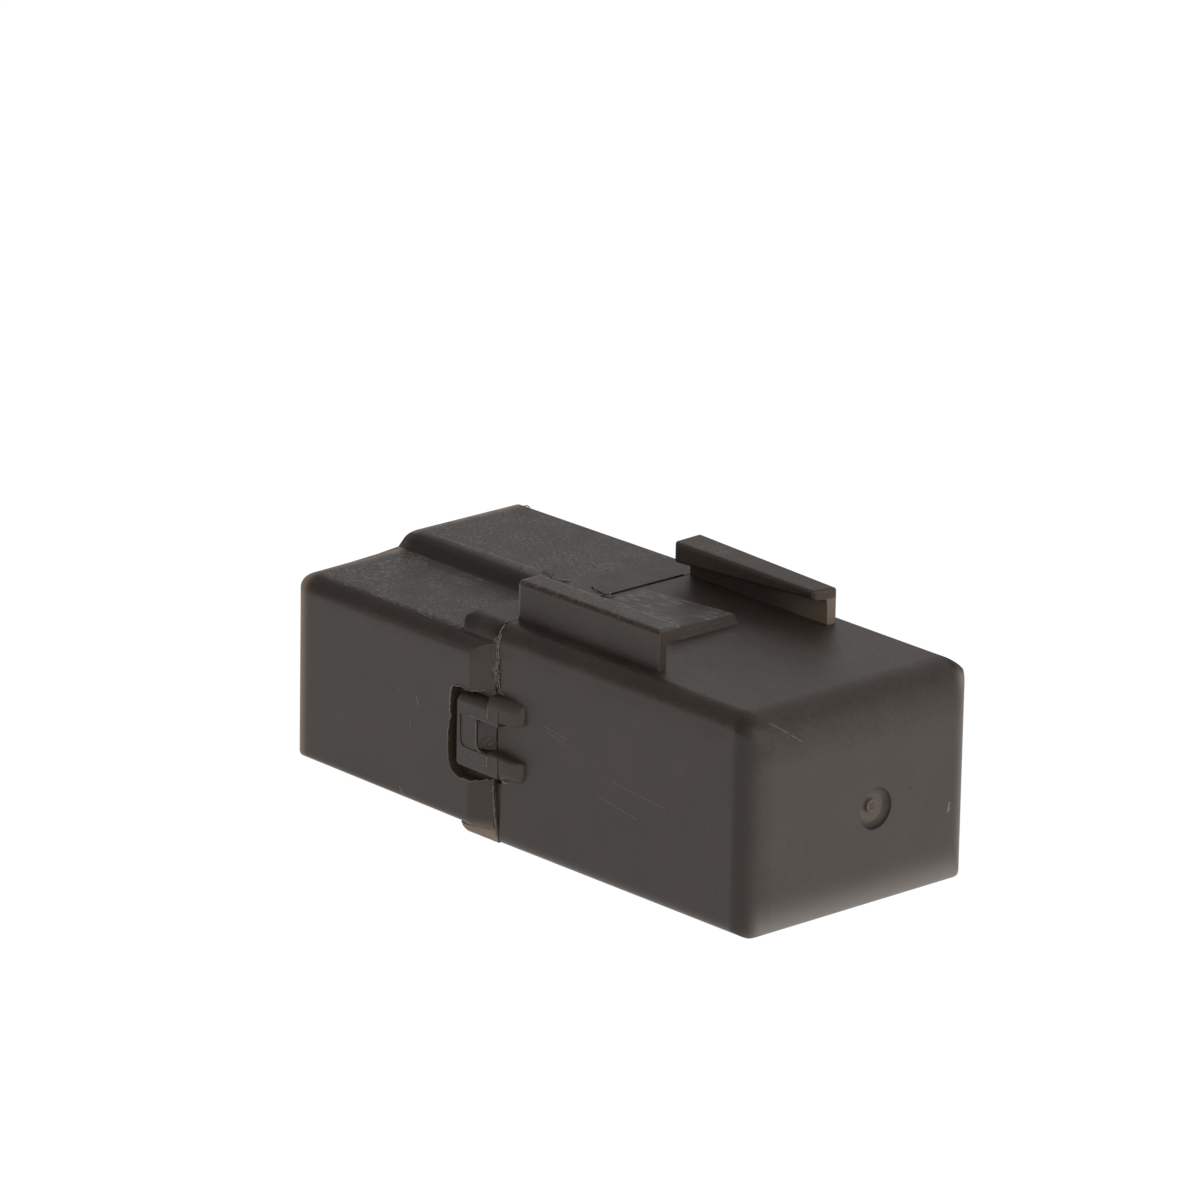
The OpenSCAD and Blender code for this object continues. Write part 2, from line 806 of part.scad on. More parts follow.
module closed_contact() {
    color([0.80, 0.80, 0.78])
        in_frame()
            union() {
                bar_x(closed_face, closed_face + contact_h, contact_y, mid_z, contact_d);
                bar_x(closed_face + contact_h - fit, closed_face + contact_h + blade_t, contact_y,
                    mid_z, contact_d / 2);
            }
}

// The common terminal bends down against the yoke's foot
module common_terminal() {
    color([0.74, 0.62, 0.34])
        in_frame()
            union() {
                blade(blade_y[1], row_z[0]);
                tab(1, row_z[0], row_shift - common_w / 2, row_shift + common_w / 2, yoke_foot);
                block([yoke_foot - blade_t, row_shift - common_w / 2, mid_z - yoke_w / 2 + gap],
                    [yoke_foot, row_shift + common_w / 2, row_z[0] + blade_t / 2]);
            }
}

// A coil terminal ends in a lug behind the yoke, widened past the rim to take the resistor's wire
module coil_terminal(row) {
    low = row_z[row] - blade_t / 2;
    high = row_z[row] + blade_t / 2;
    lug = [lug_y - lug_w / 2, lug_y + lug_w / 2];
    color([0.74, 0.62, 0.34])
        in_frame()
            difference() {
                union() {
                    blade(blade_y[2], row_z[row]);
                    tab(2, row_z[row], blade_y[2] + row_shift, lug[1], floor_in + 1.2);
                    block([floor_in, lug[0], low], [lug_end, lug[1], high]);
                    block([rim_l + gap, lug[0], low], [lug_end, resistor_y + 0.8, high]);
                }
                translate([resistor_x, resistor_y, low - cut])
                    cylinder(h = blade_t + 2 * cut, d = resistor_wire + 2 * fit);
            }
}

module upper_coil_terminal() {
    coil_terminal(1);
}

module lower_coil_terminal() {
    coil_terminal(0);
}

// A round wire through a list of points, with a ball at each bend
module wire(path, d) {
    for (i = [0:len(path) - 2]) {
        v = path[i + 1] - path[i];
        translate(path[i])
            rotate([0, acos(v.z / norm(v)), atan2(v.y, v.x)])
                cylinder(h = norm(v), d = d, $fn = 16);
        translate(path[i])
            sphere(d = d, $fn = 16);
    }
}

// A lead comes off the winding at the bobbin's lug, passes the yoke and ends on its terminal
module coil_lead(side) {
    row = side > 0 ? 1 : 0;
    out_z = mid_z + side * (bobbin_s / 2 + 1.1 + lead_d / 2);
    start_x = bobbin_start + flange_t / 2;
    lug_face = row_z[row] + side * (blade_t / 2 + lead_d / 2);
    color([0.66, 0.33, 0.15])
        in_frame()
            wire([[start_x, coil_y + 3, out_z], [start_x, lug_y, out_z],
                [start_x, lug_y, lug_face], [start_x - 2, lug_y, lug_face]], lead_d);
}

module upper_coil_lead() {
    coil_lead(1);
}

module lower_coil_lead() {
    coil_lead(-1);
}

module suppression_resistor() {
    color([0.25, 0.42, 0.55])
        in_frame()
            translate([resistor_x, resistor_y, mid_z - resistor_l / 2])
                cylinder(h = resistor_l, d = resistor_d);
}

module resistor_leads() {
    reach = row_gap / 2 + blade_t;
    color([0.72, 0.72, 0.72])
        in_frame()
            for (side = [0, 1])
                translate([resistor_x, resistor_y, mid_z])
                    mirror([0, 0, side])
                        translate([0, 0, resistor_l / 2])
                            cylinder(h = reach - resistor_l / 2, d = resistor_wire);
}

cover();
connector_housing();
coil_bobbin();
coil_winding();
iron_core();
yoke();
armature();
contact_leaf();
leaf_rivets();
moving_contact();
return_spring();
copper_braid();
open_terminal();
open_contact();
closed_terminal();
closed_contact();
common_terminal();
upper_coil_terminal();
lower_coil_terminal();
upper_coil_lead();
lower_coil_lead();
suppression_resistor();
resistor_leads();
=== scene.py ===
import math

import bmesh
import bpy
from mathutils import Matrix, Vector, noise


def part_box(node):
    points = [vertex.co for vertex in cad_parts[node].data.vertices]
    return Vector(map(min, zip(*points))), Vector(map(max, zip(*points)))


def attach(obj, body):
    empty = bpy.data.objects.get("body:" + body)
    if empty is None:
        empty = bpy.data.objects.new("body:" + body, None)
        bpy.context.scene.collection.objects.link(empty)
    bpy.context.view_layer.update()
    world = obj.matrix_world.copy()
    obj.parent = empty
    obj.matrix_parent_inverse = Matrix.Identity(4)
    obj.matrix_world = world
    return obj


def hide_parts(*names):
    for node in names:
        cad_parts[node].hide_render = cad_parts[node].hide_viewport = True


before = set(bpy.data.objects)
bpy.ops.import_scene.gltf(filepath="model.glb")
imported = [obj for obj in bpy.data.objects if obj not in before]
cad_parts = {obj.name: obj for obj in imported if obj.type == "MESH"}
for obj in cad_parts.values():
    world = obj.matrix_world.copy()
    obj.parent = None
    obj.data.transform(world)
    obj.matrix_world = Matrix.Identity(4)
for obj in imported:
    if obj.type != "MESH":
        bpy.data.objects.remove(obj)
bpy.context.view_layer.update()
print("frame loaded:", len(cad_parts), "nodes")

# Shapes are drawn in millimetres: X from the joint between cover and base, Y from the middle
# of the cover, Z from the bottom. settle() scales a finished piece and moves it into the frame.
cover = {
    "length": 33.2, "width": 26.0, "height": 20.5, "wall": 1.3, "topDraft": 0.006, "sideDraft": 0.005,
    "openEdge": [(0, 0.4), (5.7, 0.66), (7.2, 0.12), (14, -0.06), (20.5, -0.28)],  # height, edge
    "topFrontRound": 1.7, "topBackRound": 0.8, "bottomRound": 0.6,
    "endTopRound": 3.2, "endBottomRound": 0.8, "endFrontRound": 2.6, "endBackRound": 0.6,
}
gate = {  # in the closed end: spots are Y and Z
    "spot": (2.0, 9.05), "radius": 1.93, "depth": 0.8, "stub": (1.95, 9.2), "stubRadius": 0.58, "stubTop": 0.4,
}
shroud = {  # over its last stretch, fade, the front wall slopes to the collar
    "length": 26.52, "front": -14.15, "bottom": 1.22, "top": 19.03, "draft": 0.005, "fade": 2.8, "slope": 0.4,
    "topRound": 1.8, "edgeRound": 0.6,
}
half = cover["width"] / 2
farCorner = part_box("cover")[1] * 1000
origin = Vector((farCorner.x - cover["length"], farCorner.y - half, 0))
toFrame = Matrix.Scale(0.001, 4) @ Matrix.Translation(origin)


# meshes

def block(low, high):
    low, high = Vector(low), Vector(high)
    bm = bmesh.new()
    bmesh.ops.create_cube(bm, size=1)
    bmesh.ops.scale(bm, vec=high - low, verts=bm.verts)
    bmesh.ops.translate(bm, vec=(low + high) / 2, verts=bm.verts)
    return bm


def prism(axis, points, start, end):  # a face from a few points, pulled along an axis
    place = {"X": lambda a, b: (start, a, b), "Y": lambda a, b: (a, start, b), "Z": lambda a, b: (a, b, start)}[axis]
    bm = bmesh.new()
    face = bm.faces.new([bm.verts.new(place(a, b)) for a, b in points])
    grown = bmesh.ops.extrude_face_region(bm, geom=[face])
    step = Vector([end - start if letter == axis else 0 for letter in "XYZ"])
    bmesh.ops.translate(bm, vec=step, verts=[v for v in grown["geom"] if isinstance(v, bmesh.types.BMVert)])
    bmesh.ops.recalc_face_normals(bm, faces=bm.faces)
    return bm


def rod(axis, start, end, centre, radius, sides=48):
    bm = bmesh.new()
    bmesh.ops.create_cone(bm, cap_ends=True, segments=sides, radius1=radius, radius2=radius, depth=end - start)
    turn = {"X": Matrix.Rotation(math.radians(90), 4, "Y"), "Y": Matrix.Rotation(math.radians(90), 4, "X"),
            "Z": Matrix.Identity(4)}[axis]
    middle = (start + end) / 2
    spot = {"X": (middle, *centre), "Y": (centre[0], middle, centre[1]), "Z": (*centre, middle)}[axis]
    bmesh.ops.transform(bm, matrix=Matrix.Translation(spot) @ turn, verts=bm.verts)
    return bm


def put(bm, name="shape"):
    mesh = bpy.data.meshes.new(name)
    bm.to_mesh(mesh)
    bm.free()
    piece = bpy.data.objects.new(name, mesh)
    bpy.context.scene.collection.objects.link(piece)
    return piece


def applied(piece):  # its modifiers become its mesh
    graph = bpy.context.evaluated_depsgraph_get()
    mesh = bpy.data.meshes.new_from_object(piece.evaluated_get(graph))
    piece.modifiers.clear()
    piece.data = mesh
    return piece


def rounded(bm, rounds, segments=10, slack=0.5):  # rounds: an edge's direction, its two other places, radius
    widest = max(row[-1] for row in rounds)
    weight = bm.edges.layers.float.new("bevel_weight_edge")
    for edge in bm.edges:
        a, b = (v.co for v in edge.verts)
        run, middle = (b - a).normalized(), (a + b) / 2
        for axis, first, second, radius in rounds:
            i = "XYZ".index(axis)
            gaps = [place - at for place, at in zip((*middle[:i], *middle[i + 1:]), (first, second))]
            if abs(run[i]) > 0.85 and max(map(abs, gaps)) < slack:
                edge[weight] = radius / widest
    piece = put(bm)
    bevel = piece.modifiers.new("round", "BEVEL")
    bevel.limit_method, bevel.width, bevel.segments, bevel.profile = "WEIGHT", widest, segments, 0.5
    bevel.use_clamp_overlap = False
    return applied(piece)


def roundedBlock(low, high, radius, segments=4, heights=None, slack=0.5):  # its edges along X are rounded
    edges = [("X", y, z, radius) for y in (low[1], high[1]) for z in heights or (low[2], high[2])]
    return rounded(block(low, high), edges, segments, slack)


def slanted(bm, ends, onEnd):  # an end face that follows a list of heights and their X
    for height, x in ends[1:-1]:
        bmesh.ops.bisect_plane(bm, geom=bm.verts[:] + bm.edges[:] + bm.faces[:], plane_co=(0, 0, height),
                               plane_no=(0, 0, 1))
    for v in bm.verts:
        if onEnd(v.co.x):
            v.co.x = min(ends, key=lambda pair: abs(pair[0] - v.co.z))[1]
    return bm


def combine(base, tool, operation):
    if isinstance(tool, bmesh.types.BMesh):
        tool = put(tool)
    step = base.modifiers.new("combine", "BOOLEAN")
    step.object, step.operation, step.solver = tool, operation, "EXACT"
    applied(base)
    bpy.data.objects.remove(tool)
    return base


def joined(base, *tools):
    for tool in tools:
        combine(base, tool, "UNION")
    return base


def cutBy(base, *tools):
    for tool in tools:
        combine(base, tool, "DIFFERENCE")
    return base


def soften(piece, width, test, segments=2, angle=38):  # rounds the sharp edges whose middle passes the test
    bm = bmesh.new()
    bm.from_mesh(piece.data)
    bmesh.ops.remove_doubles(bm, verts=bm.verts, dist=0.004)
    sharp = [e for e in bm.edges if len(e.link_faces) == 2 and e.calc_face_angle(0) > math.radians(angle)
             and test((e.verts[0].co + e.verts[1].co) / 2)]
    bmesh.ops.bevel(bm, geom=sharp, offset=width, offset_type="OFFSET", segments=segments, profile=0.5,
                    affect="EDGES", material=-1, clamp_overlap=True)
    bm.to_mesh(piece.data)
    bm.free()
    return piece


def settle(piece, name, material, slotName, body="case", nodes=(), creaseAngle=32):
    piece.data.transform(toFrame)
    bm = bmesh.new()
    bm.from_mesh(piece.data)
    bmesh.ops.remove_doubles(bm, verts=bm.verts, dist=1e-6)
    bmesh.ops.dissolve_degenerate(bm, edges=bm.edges, dist=1e-6)
    for face in bm.faces:
        face.smooth = True
    for edge in bm.edges:
        edge.smooth = len(edge.link_faces) == 2 and edge.calc_face_angle(0) < math.radians(creaseAngle)
    bm.to_mesh(piece.data)
    bm.free()
    piece.name = piece.data.name = name
    piece.data.materials.clear()
    piece.data.materials.append(material)
    even = piece.modifiers.new("even", "WEIGHTED_NORMAL")
    even.keep_sharp, even.weight = True, 80
    if nodes:
        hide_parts(*nodes)
    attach(piece, body)
    return piece


# materials

class Signal:  # an output of a node: sums on it add Math nodes
    def __init__(self, tree, socket):
        self.tree, self.socket = tree, socket

    def maths(self, operation, *others):
        return makeNode(self.tree, "ShaderNodeMath", {"operation": operation}, dict(enumerate((self, *others))))

    def __add__(self, other):
        return self.maths("ADD", other)

    def __sub__(self, other):
        return self.maths("SUBTRACT", other)

    def __rsub__(self, other):
        return makeNode(self.tree, "ShaderNodeMath", {"operation": "SUBTRACT"}, {0: other, 1: self})

    def __mul__(self, other):
        return self.maths("MULTIPLY", other)

    def __truediv__(self, other):
        return self.maths("DIVIDE", other)

    __radd__, __rmul__ = __add__, __mul__

    def between(self, low, high, soft=0.2):  # 1 from low to high, fading out over soft
        return self.fade(low - soft, low) * (1 - self.fade(high, high + soft))

    def fade(self, low, high):  # 0 below low, 1 above high, smooth between them
        return makeNode(self.tree, "ShaderNodeMapRange", {"interpolation_type": "SMOOTHSTEP"},
                        {"Value": self, "From Min": low, "From Max": high})


def makeNode(tree, kind, settings=None, values=None, out=0):
    node = tree.nodes.new(kind)
    for name, value in (settings or {}).items():
        setattr(node, name, value)
    for name, value in (values or {}).items():
        if isinstance(value, Signal):
            tree.links.new(value.socket, node.inputs[name])
        else:
            node.inputs[name].default_value = value
    return Signal(tree, node.outputs[out]) if node.outputs else None


class Finish:  # a material under way, with its place in millimetres
    def __init__(self, name):
        self.material = bpy.data.materials.new(name)
        self.material.use_nodes = True
        self.tree = self.material.node_tree
        self.tree.nodes.clear()
        coords = self.node("ShaderNodeTexCoord", out="Object")
        self.place = self.node("ShaderNodeMapping", {}, {"Vector": coords, "Scale": (1000,) * 3,
                                                         "Location": tuple(-origin)})
        self.x, self.y, self.z = (self.node("ShaderNodeSeparateXYZ", {}, {"Vector": self.place}, i) for i in range(3))

    def node(self, kind, settings=None, values=None, out=0):
        return makeNode(self.tree, kind, settings, values, out)

    def noise(self, scale, detail=2.0, rough=0.5, stretch=(1, 1, 1), shift=0.0):
        spot = self.node("ShaderNodeMapping", {}, {"Vector": self.place, "Scale": stretch,
                                                   "Location": (shift,) * 3})
        return self.node("ShaderNodeTexNoise", {}, {"Vector": spot, "Scale": scale, "Detail": detail,
                                                    "Roughness": rough})

    def mix(self, factor, a, b):
        return self.node("ShaderNodeMix", {"data_type": "RGBA"}, {0: factor, 6: a, 7: b}, 2)

    def line(self, a, b, u, v, width):  # 1 on the line through u, v between points a and b
        run = (b[0] - a[0], b[1] - a[1])
        size = run[0] ** 2 + run[1] ** 2
        du, dv = u - a[0], v - a[1]
        along = ((du * run[0] + dv * run[1]) / size).maths("MINIMUM", 1).maths("MAXIMUM", 0)
        eu, ev = du - along * run[0], dv - along * run[1]
        away = (eu * eu + ev * ev).maths("SQRT")
        return 1 - away.fade(width * 0.4, width)

    def finished(self, colour, roughness, metallic=0.0, height=None, **fixed):
        values = {"Base Color": colour, "Roughness": roughness, "Metallic": metallic, **fixed}
        if height is not None:  # height is in millimetres
            values["Normal"] = self.node("ShaderNodeBump", {}, {"Strength": 1.0, "Distance": 0.001, "Height": height})
        shader = self.node("ShaderNodeBsdfPrincipled", {}, values)
        self.node("ShaderNodeOutputMaterial", {}, {"Surface": shader})
        return self.material


def rgb(r, g, b):
    return (r, g, b, 1.0)


plastic = {
    "body": rgb(0.065, 0.046, 0.0355), "shade": rgb(0.0415, 0.0295, 0.0226), "brown": rgb(0.08, 0.054, 0.035),
    "pale": rgb(0.15, 0.135, 0.12), "dust": rgb(0.27, 0.25, 0.23), "stain": rgb(0.022, 0.016, 0.011),
    "rim": rgb(0.5, 0.39, 0.29), "haze": rgb(0.46, 0.42, 0.385), "notch": rgb(0.078, 0.05, 0.031),
    "rust": rgb(0.2, 0.105, 0.052), "rough": 0.46, "grainHeight": 0.0035, "specular": 0.43,
}
tornPlasticAndGlint = dict(plastic, body=rgb(0.28, 0.245, 0.205), shade=rgb(0.065, 0.05, 0.039))
bobbinNylon = {
    "body": rgb(0.7, 0.66, 0.54), "shade": rgb(0.6, 0.55, 0.43), "dust": rgb(0.85, 0.83, 0.78), "rough": 0.42,
    "grainHeight": 0.003, "specular": 0.4,
}


def mouldedPlastic(name, paint, marks=None, grain=1.0):  # marks give a mask, a colour, an amount and maybe a depth
    f = Finish(name)
    cloud = f.noise(0.22, 3.0)
    mottle = f.noise(1.7, 4.0, 0.6, shift=3.1)
    grainNoise = f.noise(9.0, 3.0, 0.65)
    fine = f.noise(8.0, 2.0, 0.6, (1, 1, 0.5), 4.4)
    colour = f.mix((cloud * 0.5 + mottle * 0.45 + fine * 0.45 - 0.2).fade(0.3, 0.7), paint["shade"], paint["body"])
    specks = f.noise(5.5, 0.0, shift=7.7).fade(0.80, 0.86)
    colour = f.mix(specks * 0.35, colour, paint["dust"])
    height = grainNoise * (paint["grainHeight"] * grain) + mottle * 0.006
    rough = paint["rough"] + (mottle - 0.5) * 0.16
    for mask, tint, amount, *depth in (marks(f) if marks else ()):
        colour = f.mix(mask * amount, colour, paint[tint])
        if depth:
            height = height + mask * depth[0]
    return f.finished(colour, rough, height=height, **{"Specular IOR Level": paint["specular"]})


def wornTop(f, area, amount):  # rubbed patches of fine pale flecks
    patches = f.noise(0.3, 2.0, shift=6.2).fade(0.36, 0.62) * 0.7 + 0.3
    flecks = f.noise(5.5, 4.0, 0.7, (0.4, 1, 1), 8.8).fade(0.46, 0.70)
    return area * patches * flecks, "dust", amount, 0.004


def scratch(f, a, b, u, v, width, area, amount=0.5, tint="dust"):
    return f.line(a, b, u, v, width) * area * f.noise(3.0, 2.0).fade(0.3, 0.5), tint, amount, -0.008


def coverMarks(f):
    front = 1 - f.y.fade(-12.9, -12.4)
    for a, b in [((6.3, 12.7), (9.1, 12.3)), ((6.5, 12.3), (9.1, 11.7)), ((15.3, 9.9), (21.8, 9.3)),
                 ((13.4, 8.1), (18.4, 7.3))]:
        yield scratch(f, a, b, f.x, f.z, 0.11, front, 0.22)
    end = f.x.fade(31.6, 33.0)
    # painted light: the closed end and the front are lighter below their top rounds
    yield end * (1 - f.z.fade(14.5, 17.5)), "pale", 0.2
    yield front * (1 - f.z.fade(16.5, 18.5)) * (1 - f.x.fade(29.5, 31.5)), "pale", 0.13
    # a painted sheen along the bottom edges, the lower part of the closed end and its back edge
    low = (1 - f.z.fade(-0.3, 1.5)).maths("MAXIMUM", end * (1 - f.z.fade(-1.0, 4.8)))
    low = low.maths("MAXIMUM", end * f.y.fade(11.2, 13.2))
    yield low * low, "haze", 0.75
    # painted shade down the rounded corner between the front and the closed end
    yield f.x.between(30.9, 33.2, 0.6) * (1 - f.y.fade(-12.9, -11.2)), "stain", 0.75

    # the gate mark: a pale bowl with painted shade round its far side, and the torn stub in it
    du, dv = f.y - gate["spot"][0], f.z - gate["spot"][1]
    away = (du * du + dv * dv).maths("SQRT")
    yield (1 - away.fade(1.0, 1.9)) * end, "rim", 0.2
    yield away.between(1.5, 1.9, 0.25) * (du - dv).fade(-0.2, 1.6) * end, "stain", 0.75
    su, sv = f.y - gate["stub"][0], f.z - gate["stub"][1]
    near = (su * su + sv * sv).maths("SQRT") + (f.noise(3.0, 2.0) - 0.5) * 0.3
    yield near.between(0.55, 0.75, 0.12) * end, "pale", 0.4
    yield (1 - near.fade(0.35, 0.55)) * end * f.noise(6.0, 2.0).fade(0.3, 0.5), "stain", 0.7
    yield scratch(f, (11.2, 7.5), (10.98, 6.7), f.y, f.z, 0.13, end, 0.7)
    yield scratch(f, (10.98, 6.7), (11.35, 7.0), f.y, f.z, 0.1, end, 0.6)
    yield f.line((6.16, 10.06), (6.3, 10.0), f.y, f.z, 0.14) * end, "stain", 0.6
    yield scratch(f, (-10.2, 19.4), (-7.2, 17.3), f.y, f.z, 0.1, f.x.fade(28, 30), 0.15, "rim")

    # rails: worn brown tops and edges, brown light through the back web
    railHeight = f.z.fade(20.75, 21.1)
    frontSide = 1 - f.y.fade(-7.5, -7.3)
    yield railHeight * f.x.fade(17.1, 18.15), "brown", 0.4
    yield f.z.fade(23.3, 24.1), "brown", 0.45
    backWeb = f.y.between(9.9, 11.0, 0.1) * f.z.between(20.6, 22.8)
    yield backWeb * f.x.fade(9, 18), "rim", 0.3
    yield backWeb * (1 - f.x.fade(2, 9)), "brown", 0.6
    yield frontSide * railHeight * (1 - f.x.fade(-0.26, -0.02)), "dust", 0.6
    ridge = frontSide * f.z.fade(23.75, 23.95) * (1 - f.y.fade(-10.3, -10.0))
    yield ridge * f.noise(0.7, 3.0, 0.6, (1, 0.3, 0.3), 1.3).fade(0.3, 0.6), "stain", 0.6
    yield ridge * f.noise(4.0, 4.0, 0.7, (0.6, 1, 1), 3.3).fade(0.56, 0.70), "dust", 0.5
    tops = f.z.fade(23.9, 24.1)
    # a painted highlight along the rounding of the front rail's tip edge, broken into patches
    yield f.y.between(-8.0, -7.75) * tops * f.noise(0.8, 3.0, 0.6).fade(0.4, 0.55), "dust", 0.5

    # lock ramp: streaked top, dirty sloped end, a pale burr along the back edge with painted shade at its foot
    ramp = f.y.between(-4.6, 4.6, 0.1) * f.z.between(20.6, 21.6, 0.08) * f.x.between(0.4, 12.35, 0.1)
    streaks = f.noise(3.2, 4.0, 0.68, (0.12, 1, 1), 5.0).fade(0.45, 0.66)
    yield ramp * streaks * f.noise(0.35, 2.0, shift=1.1).fade(0.3, 0.6), "dust", 0.8, 0.003
    slope = f.y.between(-4.6, 4.6, 0.1) * f.z.between(20.52, 21.5, 0.05) * f.x.between(12.45, 13.1, 0.08)
    yield slope, "stain", 0.45
    yield slope * f.noise(6.0, 3.0, 0.7).fade(0.45, 0.6), "brown", 0.7, 0.008
    above = f.z.fade(20.45, 20.55)
    yield scratch(f, (0.3, 4.2), (12.2, 3.85), f.x, f.y, 0.16, above, 0.55)
    yield f.line((0.3, 4.45), (12.6, 4.1), f.x, f.y, 0.2) * above, "stain", 0.5
    yield wornTop(f, tops + f.z.between(20.25, 20.52) * 0.3, 0.6)
    tongue = (1 - f.x.fade(-0.1, 0)) * f.z.between(6.8, 8.4) * front
    yield tongue * f.noise(5.0, 2.0, shift=1.7).fade(0.60, 0.66), "dust", 0.3


def housingMarks(f):
    # painted light: the shroud's front is lighter below its top round
    yield (1 - f.y.fade(-13.2, -12.9)) * (1 - f.z.fade(16.0, 17.8)), "pale", 0.13
    # painted edge light: the open end and the bottom edges lighter, brightest right at the open rim
    low = (1 - f.x.fade(-26.4, -24.6)).maths("MAXIMUM", 1 - f.z.fade(0.5, 2.6))
    yield low * low * (f.x.fade(-26.49, -26.38) * 0.75 + 0.25), "rim", 0.9
    behind = 1 - f.x.fade(-5.4, -5.0)  # the shroud, behind the collar
    crest = f.z.fade(20.3, 20.45)
    yield f.z.fade(18.7, 18.9) * f.noise(0.32, 3.0, shift=2.6).fade(0.40, 0.58), "stain", 0.45
    yield wornTop(f, crest * (behind * 0.75 + 0.25), 0.8)
    yield wornTop(f, f.z.between(18.9, 19.1, 0.06) * behind, 0.9)
    # painted shade on the riser up to the crest, and lightly on the shroud's top front round
    yield f.z.between(19.2, 20.25, 0.15) * f.y.between(-2.7, -0.7, 0.3) * behind, "stain", 0.75
    yield f.z.between(17.7, 18.75, 0.3) * (1 - f.y.fade(-12.9, -12.6)) * behind, "stain", 0.15
    for a, b in [((-23.2, 0.25), (-18.0, 0.5)), ((-18.0, 0.5), (-8.9, 0.63))]:
        yield scratch(f, a, b, f.x, f.y, 0.13, crest, 0.5)
    front = 1 - f.y.fade(-13.95, -13.8)
    for a, b, amount in [((-9.84, 11.48), (-9.55, 10.7), 0.5), ((-10.77, 9.23), (-10.68, 8.3), 0.25),
                         ((-12.05, 2.27), (-11.45, 1.6), 0.9), ((-12.46, 11.46), (-11.36, 12.03), 0.15)]:
        yield scratch(f, a, b, f.x, f.z, 0.09, front, amount)
    collarFront = f.y.between(-13.3, -12.4)
    # painted shade along the foot of the collar, where it meets the shroud's top and sloping wall
    yield f.line((-5.2, 18.95), (-2.8, 18.93), f.x, f.z, 0.22) * collarFront, "stain", 0.7
    yield f.line((-2.8, 18.93), (-0.6, 18.2), f.x, f.z, 0.16) * collarFront, "stain", 0.5
    yield f.x.between(-5.1, -4.8, 0.1) * f.z.fade(20.2, 20.4) * (1 - f.y.fade(-6.8, -6.4)), "dust", 0.4

    # rust rings in the latch window
    du, dv = f.x + 0.5 + (f.noise(2.2, 2.0) - 0.5) * 0.7, f.z - 9.3 + (f.noise(2.0, 2.0, shift=4.0) - 0.5) * 0.7
    away = (du * du + dv * dv).maths("SQRT")
    inside = 1 - f.y.fade(-12.9, -12.5)
    rust = (1 - away.fade(0.75, 1.0)) * inside
    yield rust, "stain", 0.8
    rings = (away * 14.0).maths("SINE").fade(-0.1, 0.8)
    yield rust * rings * f.noise(4.0, 3.0, 0.7).fade(0.38, 0.56), "rust", 0.8, 0.02

    # brown walls of the notch and of the open stretches of the joint
    depth = f.y - shroud["front"] - (f.x + shroud["fade"]).maths("MAXIMUM", 0) * shroud["slope"]
    notch = depth.fade(0.06, 0.2) * (1 - f.y.fade(-12.5, -12.4)) * f.x.between(-5.6, 0.2, 0.1)
    window = f.x.fade(-1.8, -1.7) * f.z.between(8.5, 11.6, 0.2)
    yield notch * f.z.between(5.3, 14.4, 0.2) * (1 - window), "notch", 0.8
    joint = f.x.between(-0.7, 0.8, 0.1) * f.y.fade(-12.97, -12.88) * (1 - f.z.fade(5.6, 6.2))
    yield joint, "notch", 0.7
    topJoint = f.x.between(-0.6, 0.3, 0.1) * f.z.between(18.6, 20.46, 0.04)
    yield topJoint * (1 - f.y.fade(12, 12.5)) * f.y.fade(-11.9, -11.6), "notch", 0.6


coverPlastic = mouldedPlastic("coverPlastic", plastic, coverMarks)
basePlastic = mouldedPlastic("basePlastic", plastic, housingMarks, grain=1.6)
bobbinPlastic = mouldedPlastic("bobbinPlastic", bobbinNylon)
chewedPlasticAndGlint = mouldedPlastic("chewedPlasticAndGlint", tornPlasticAndGlint)
print("plastics made")


# cover

rails = {
    "start": -0.3, "length": 18.2, "top": 24.2, "web": 0.9, "reach": 2.7, "frontBack": -10.4,
}
latch = {
    "tongueLength": 4.3, "tongueLow": 6.6, "tongueHigh": 13.5, "front": -14.15, "windowLength": 1.65,
    "windowLow": 8.6, "windowHigh": 11.5, "panelLength": 3.8, "panelDepth": 0.09, "ribLength": 3.75,
    "ribFront": -14.25, "ribBend": (2.5, -13.93), "ribEnd": -13.4,
    "upperRib": (11.65, 14.12), "lowerRib": (8.85, 6.42),  # height of the inner edge, then of the outer one
}


def coverShell():
    c = cover
    top, end = c["height"], c["length"]
    outer = slanted(block((0, -half, 0), (end, half, top)), c["openEdge"], lambda x: x <= 1)
    for v in outer.verts:  # drafted towards the closed end
        if v.co.x > 1:
            v.co.y += c["sideDraft"] * end if v.co.y < 0 else -0.05
            v.co.z -= c["topDraft"] * end if v.co.z > top - 1 else 0
    shell = rounded(outer, [
        ("X", -half, top, c["topFrontRound"]), ("X", half, top, c["topBackRound"]),
        ("X", -half, 0, c["bottomRound"]), ("X", half, 0, c["bottomRound"]),
        ("Y", end, top, c["endTopRound"]), ("Y", end, 0, c["endBottomRound"]),
        ("Z", end, -half, c["endFrontRound"]), ("Z", end, half, c["endBackRound"])])
    wall = c["wall"]
    return cutBy(shell, roundedBlock((-1, -half + wall, wall), (end - wall, half - wall, top - wall), 0.4, 3))


def frontRail():
    r = rails
    y, tip = r["frontBack"], r["frontBack"] + r["reach"]
    bm = prism("X", [(y, 19.85), (y, r["top"]), (tip, r["top"]), (tip, 22.9), (y + r["web"], 22.9),
                     (y + r["web"], 19.85)], r["start"], r["length"])
    return rounded(bm, [("X", y, r["top"], 0.45), ("X", tip, r["top"], 0.25),
                        ("X", tip, 22.9, 0.25), ("X", y + r["web"], 22.9, 0.3),
                        ("Y", 0, r["top"], 0.3), ("Y", r["length"], r["top"], 0.2),
                        ("Z", r["length"], tip, 0.5), ("Z", r["length"], y, 0.2),
                        ("Z", 0, y, 0.25), ("Z", 0, tip, 0.2)], 5, 0.3)


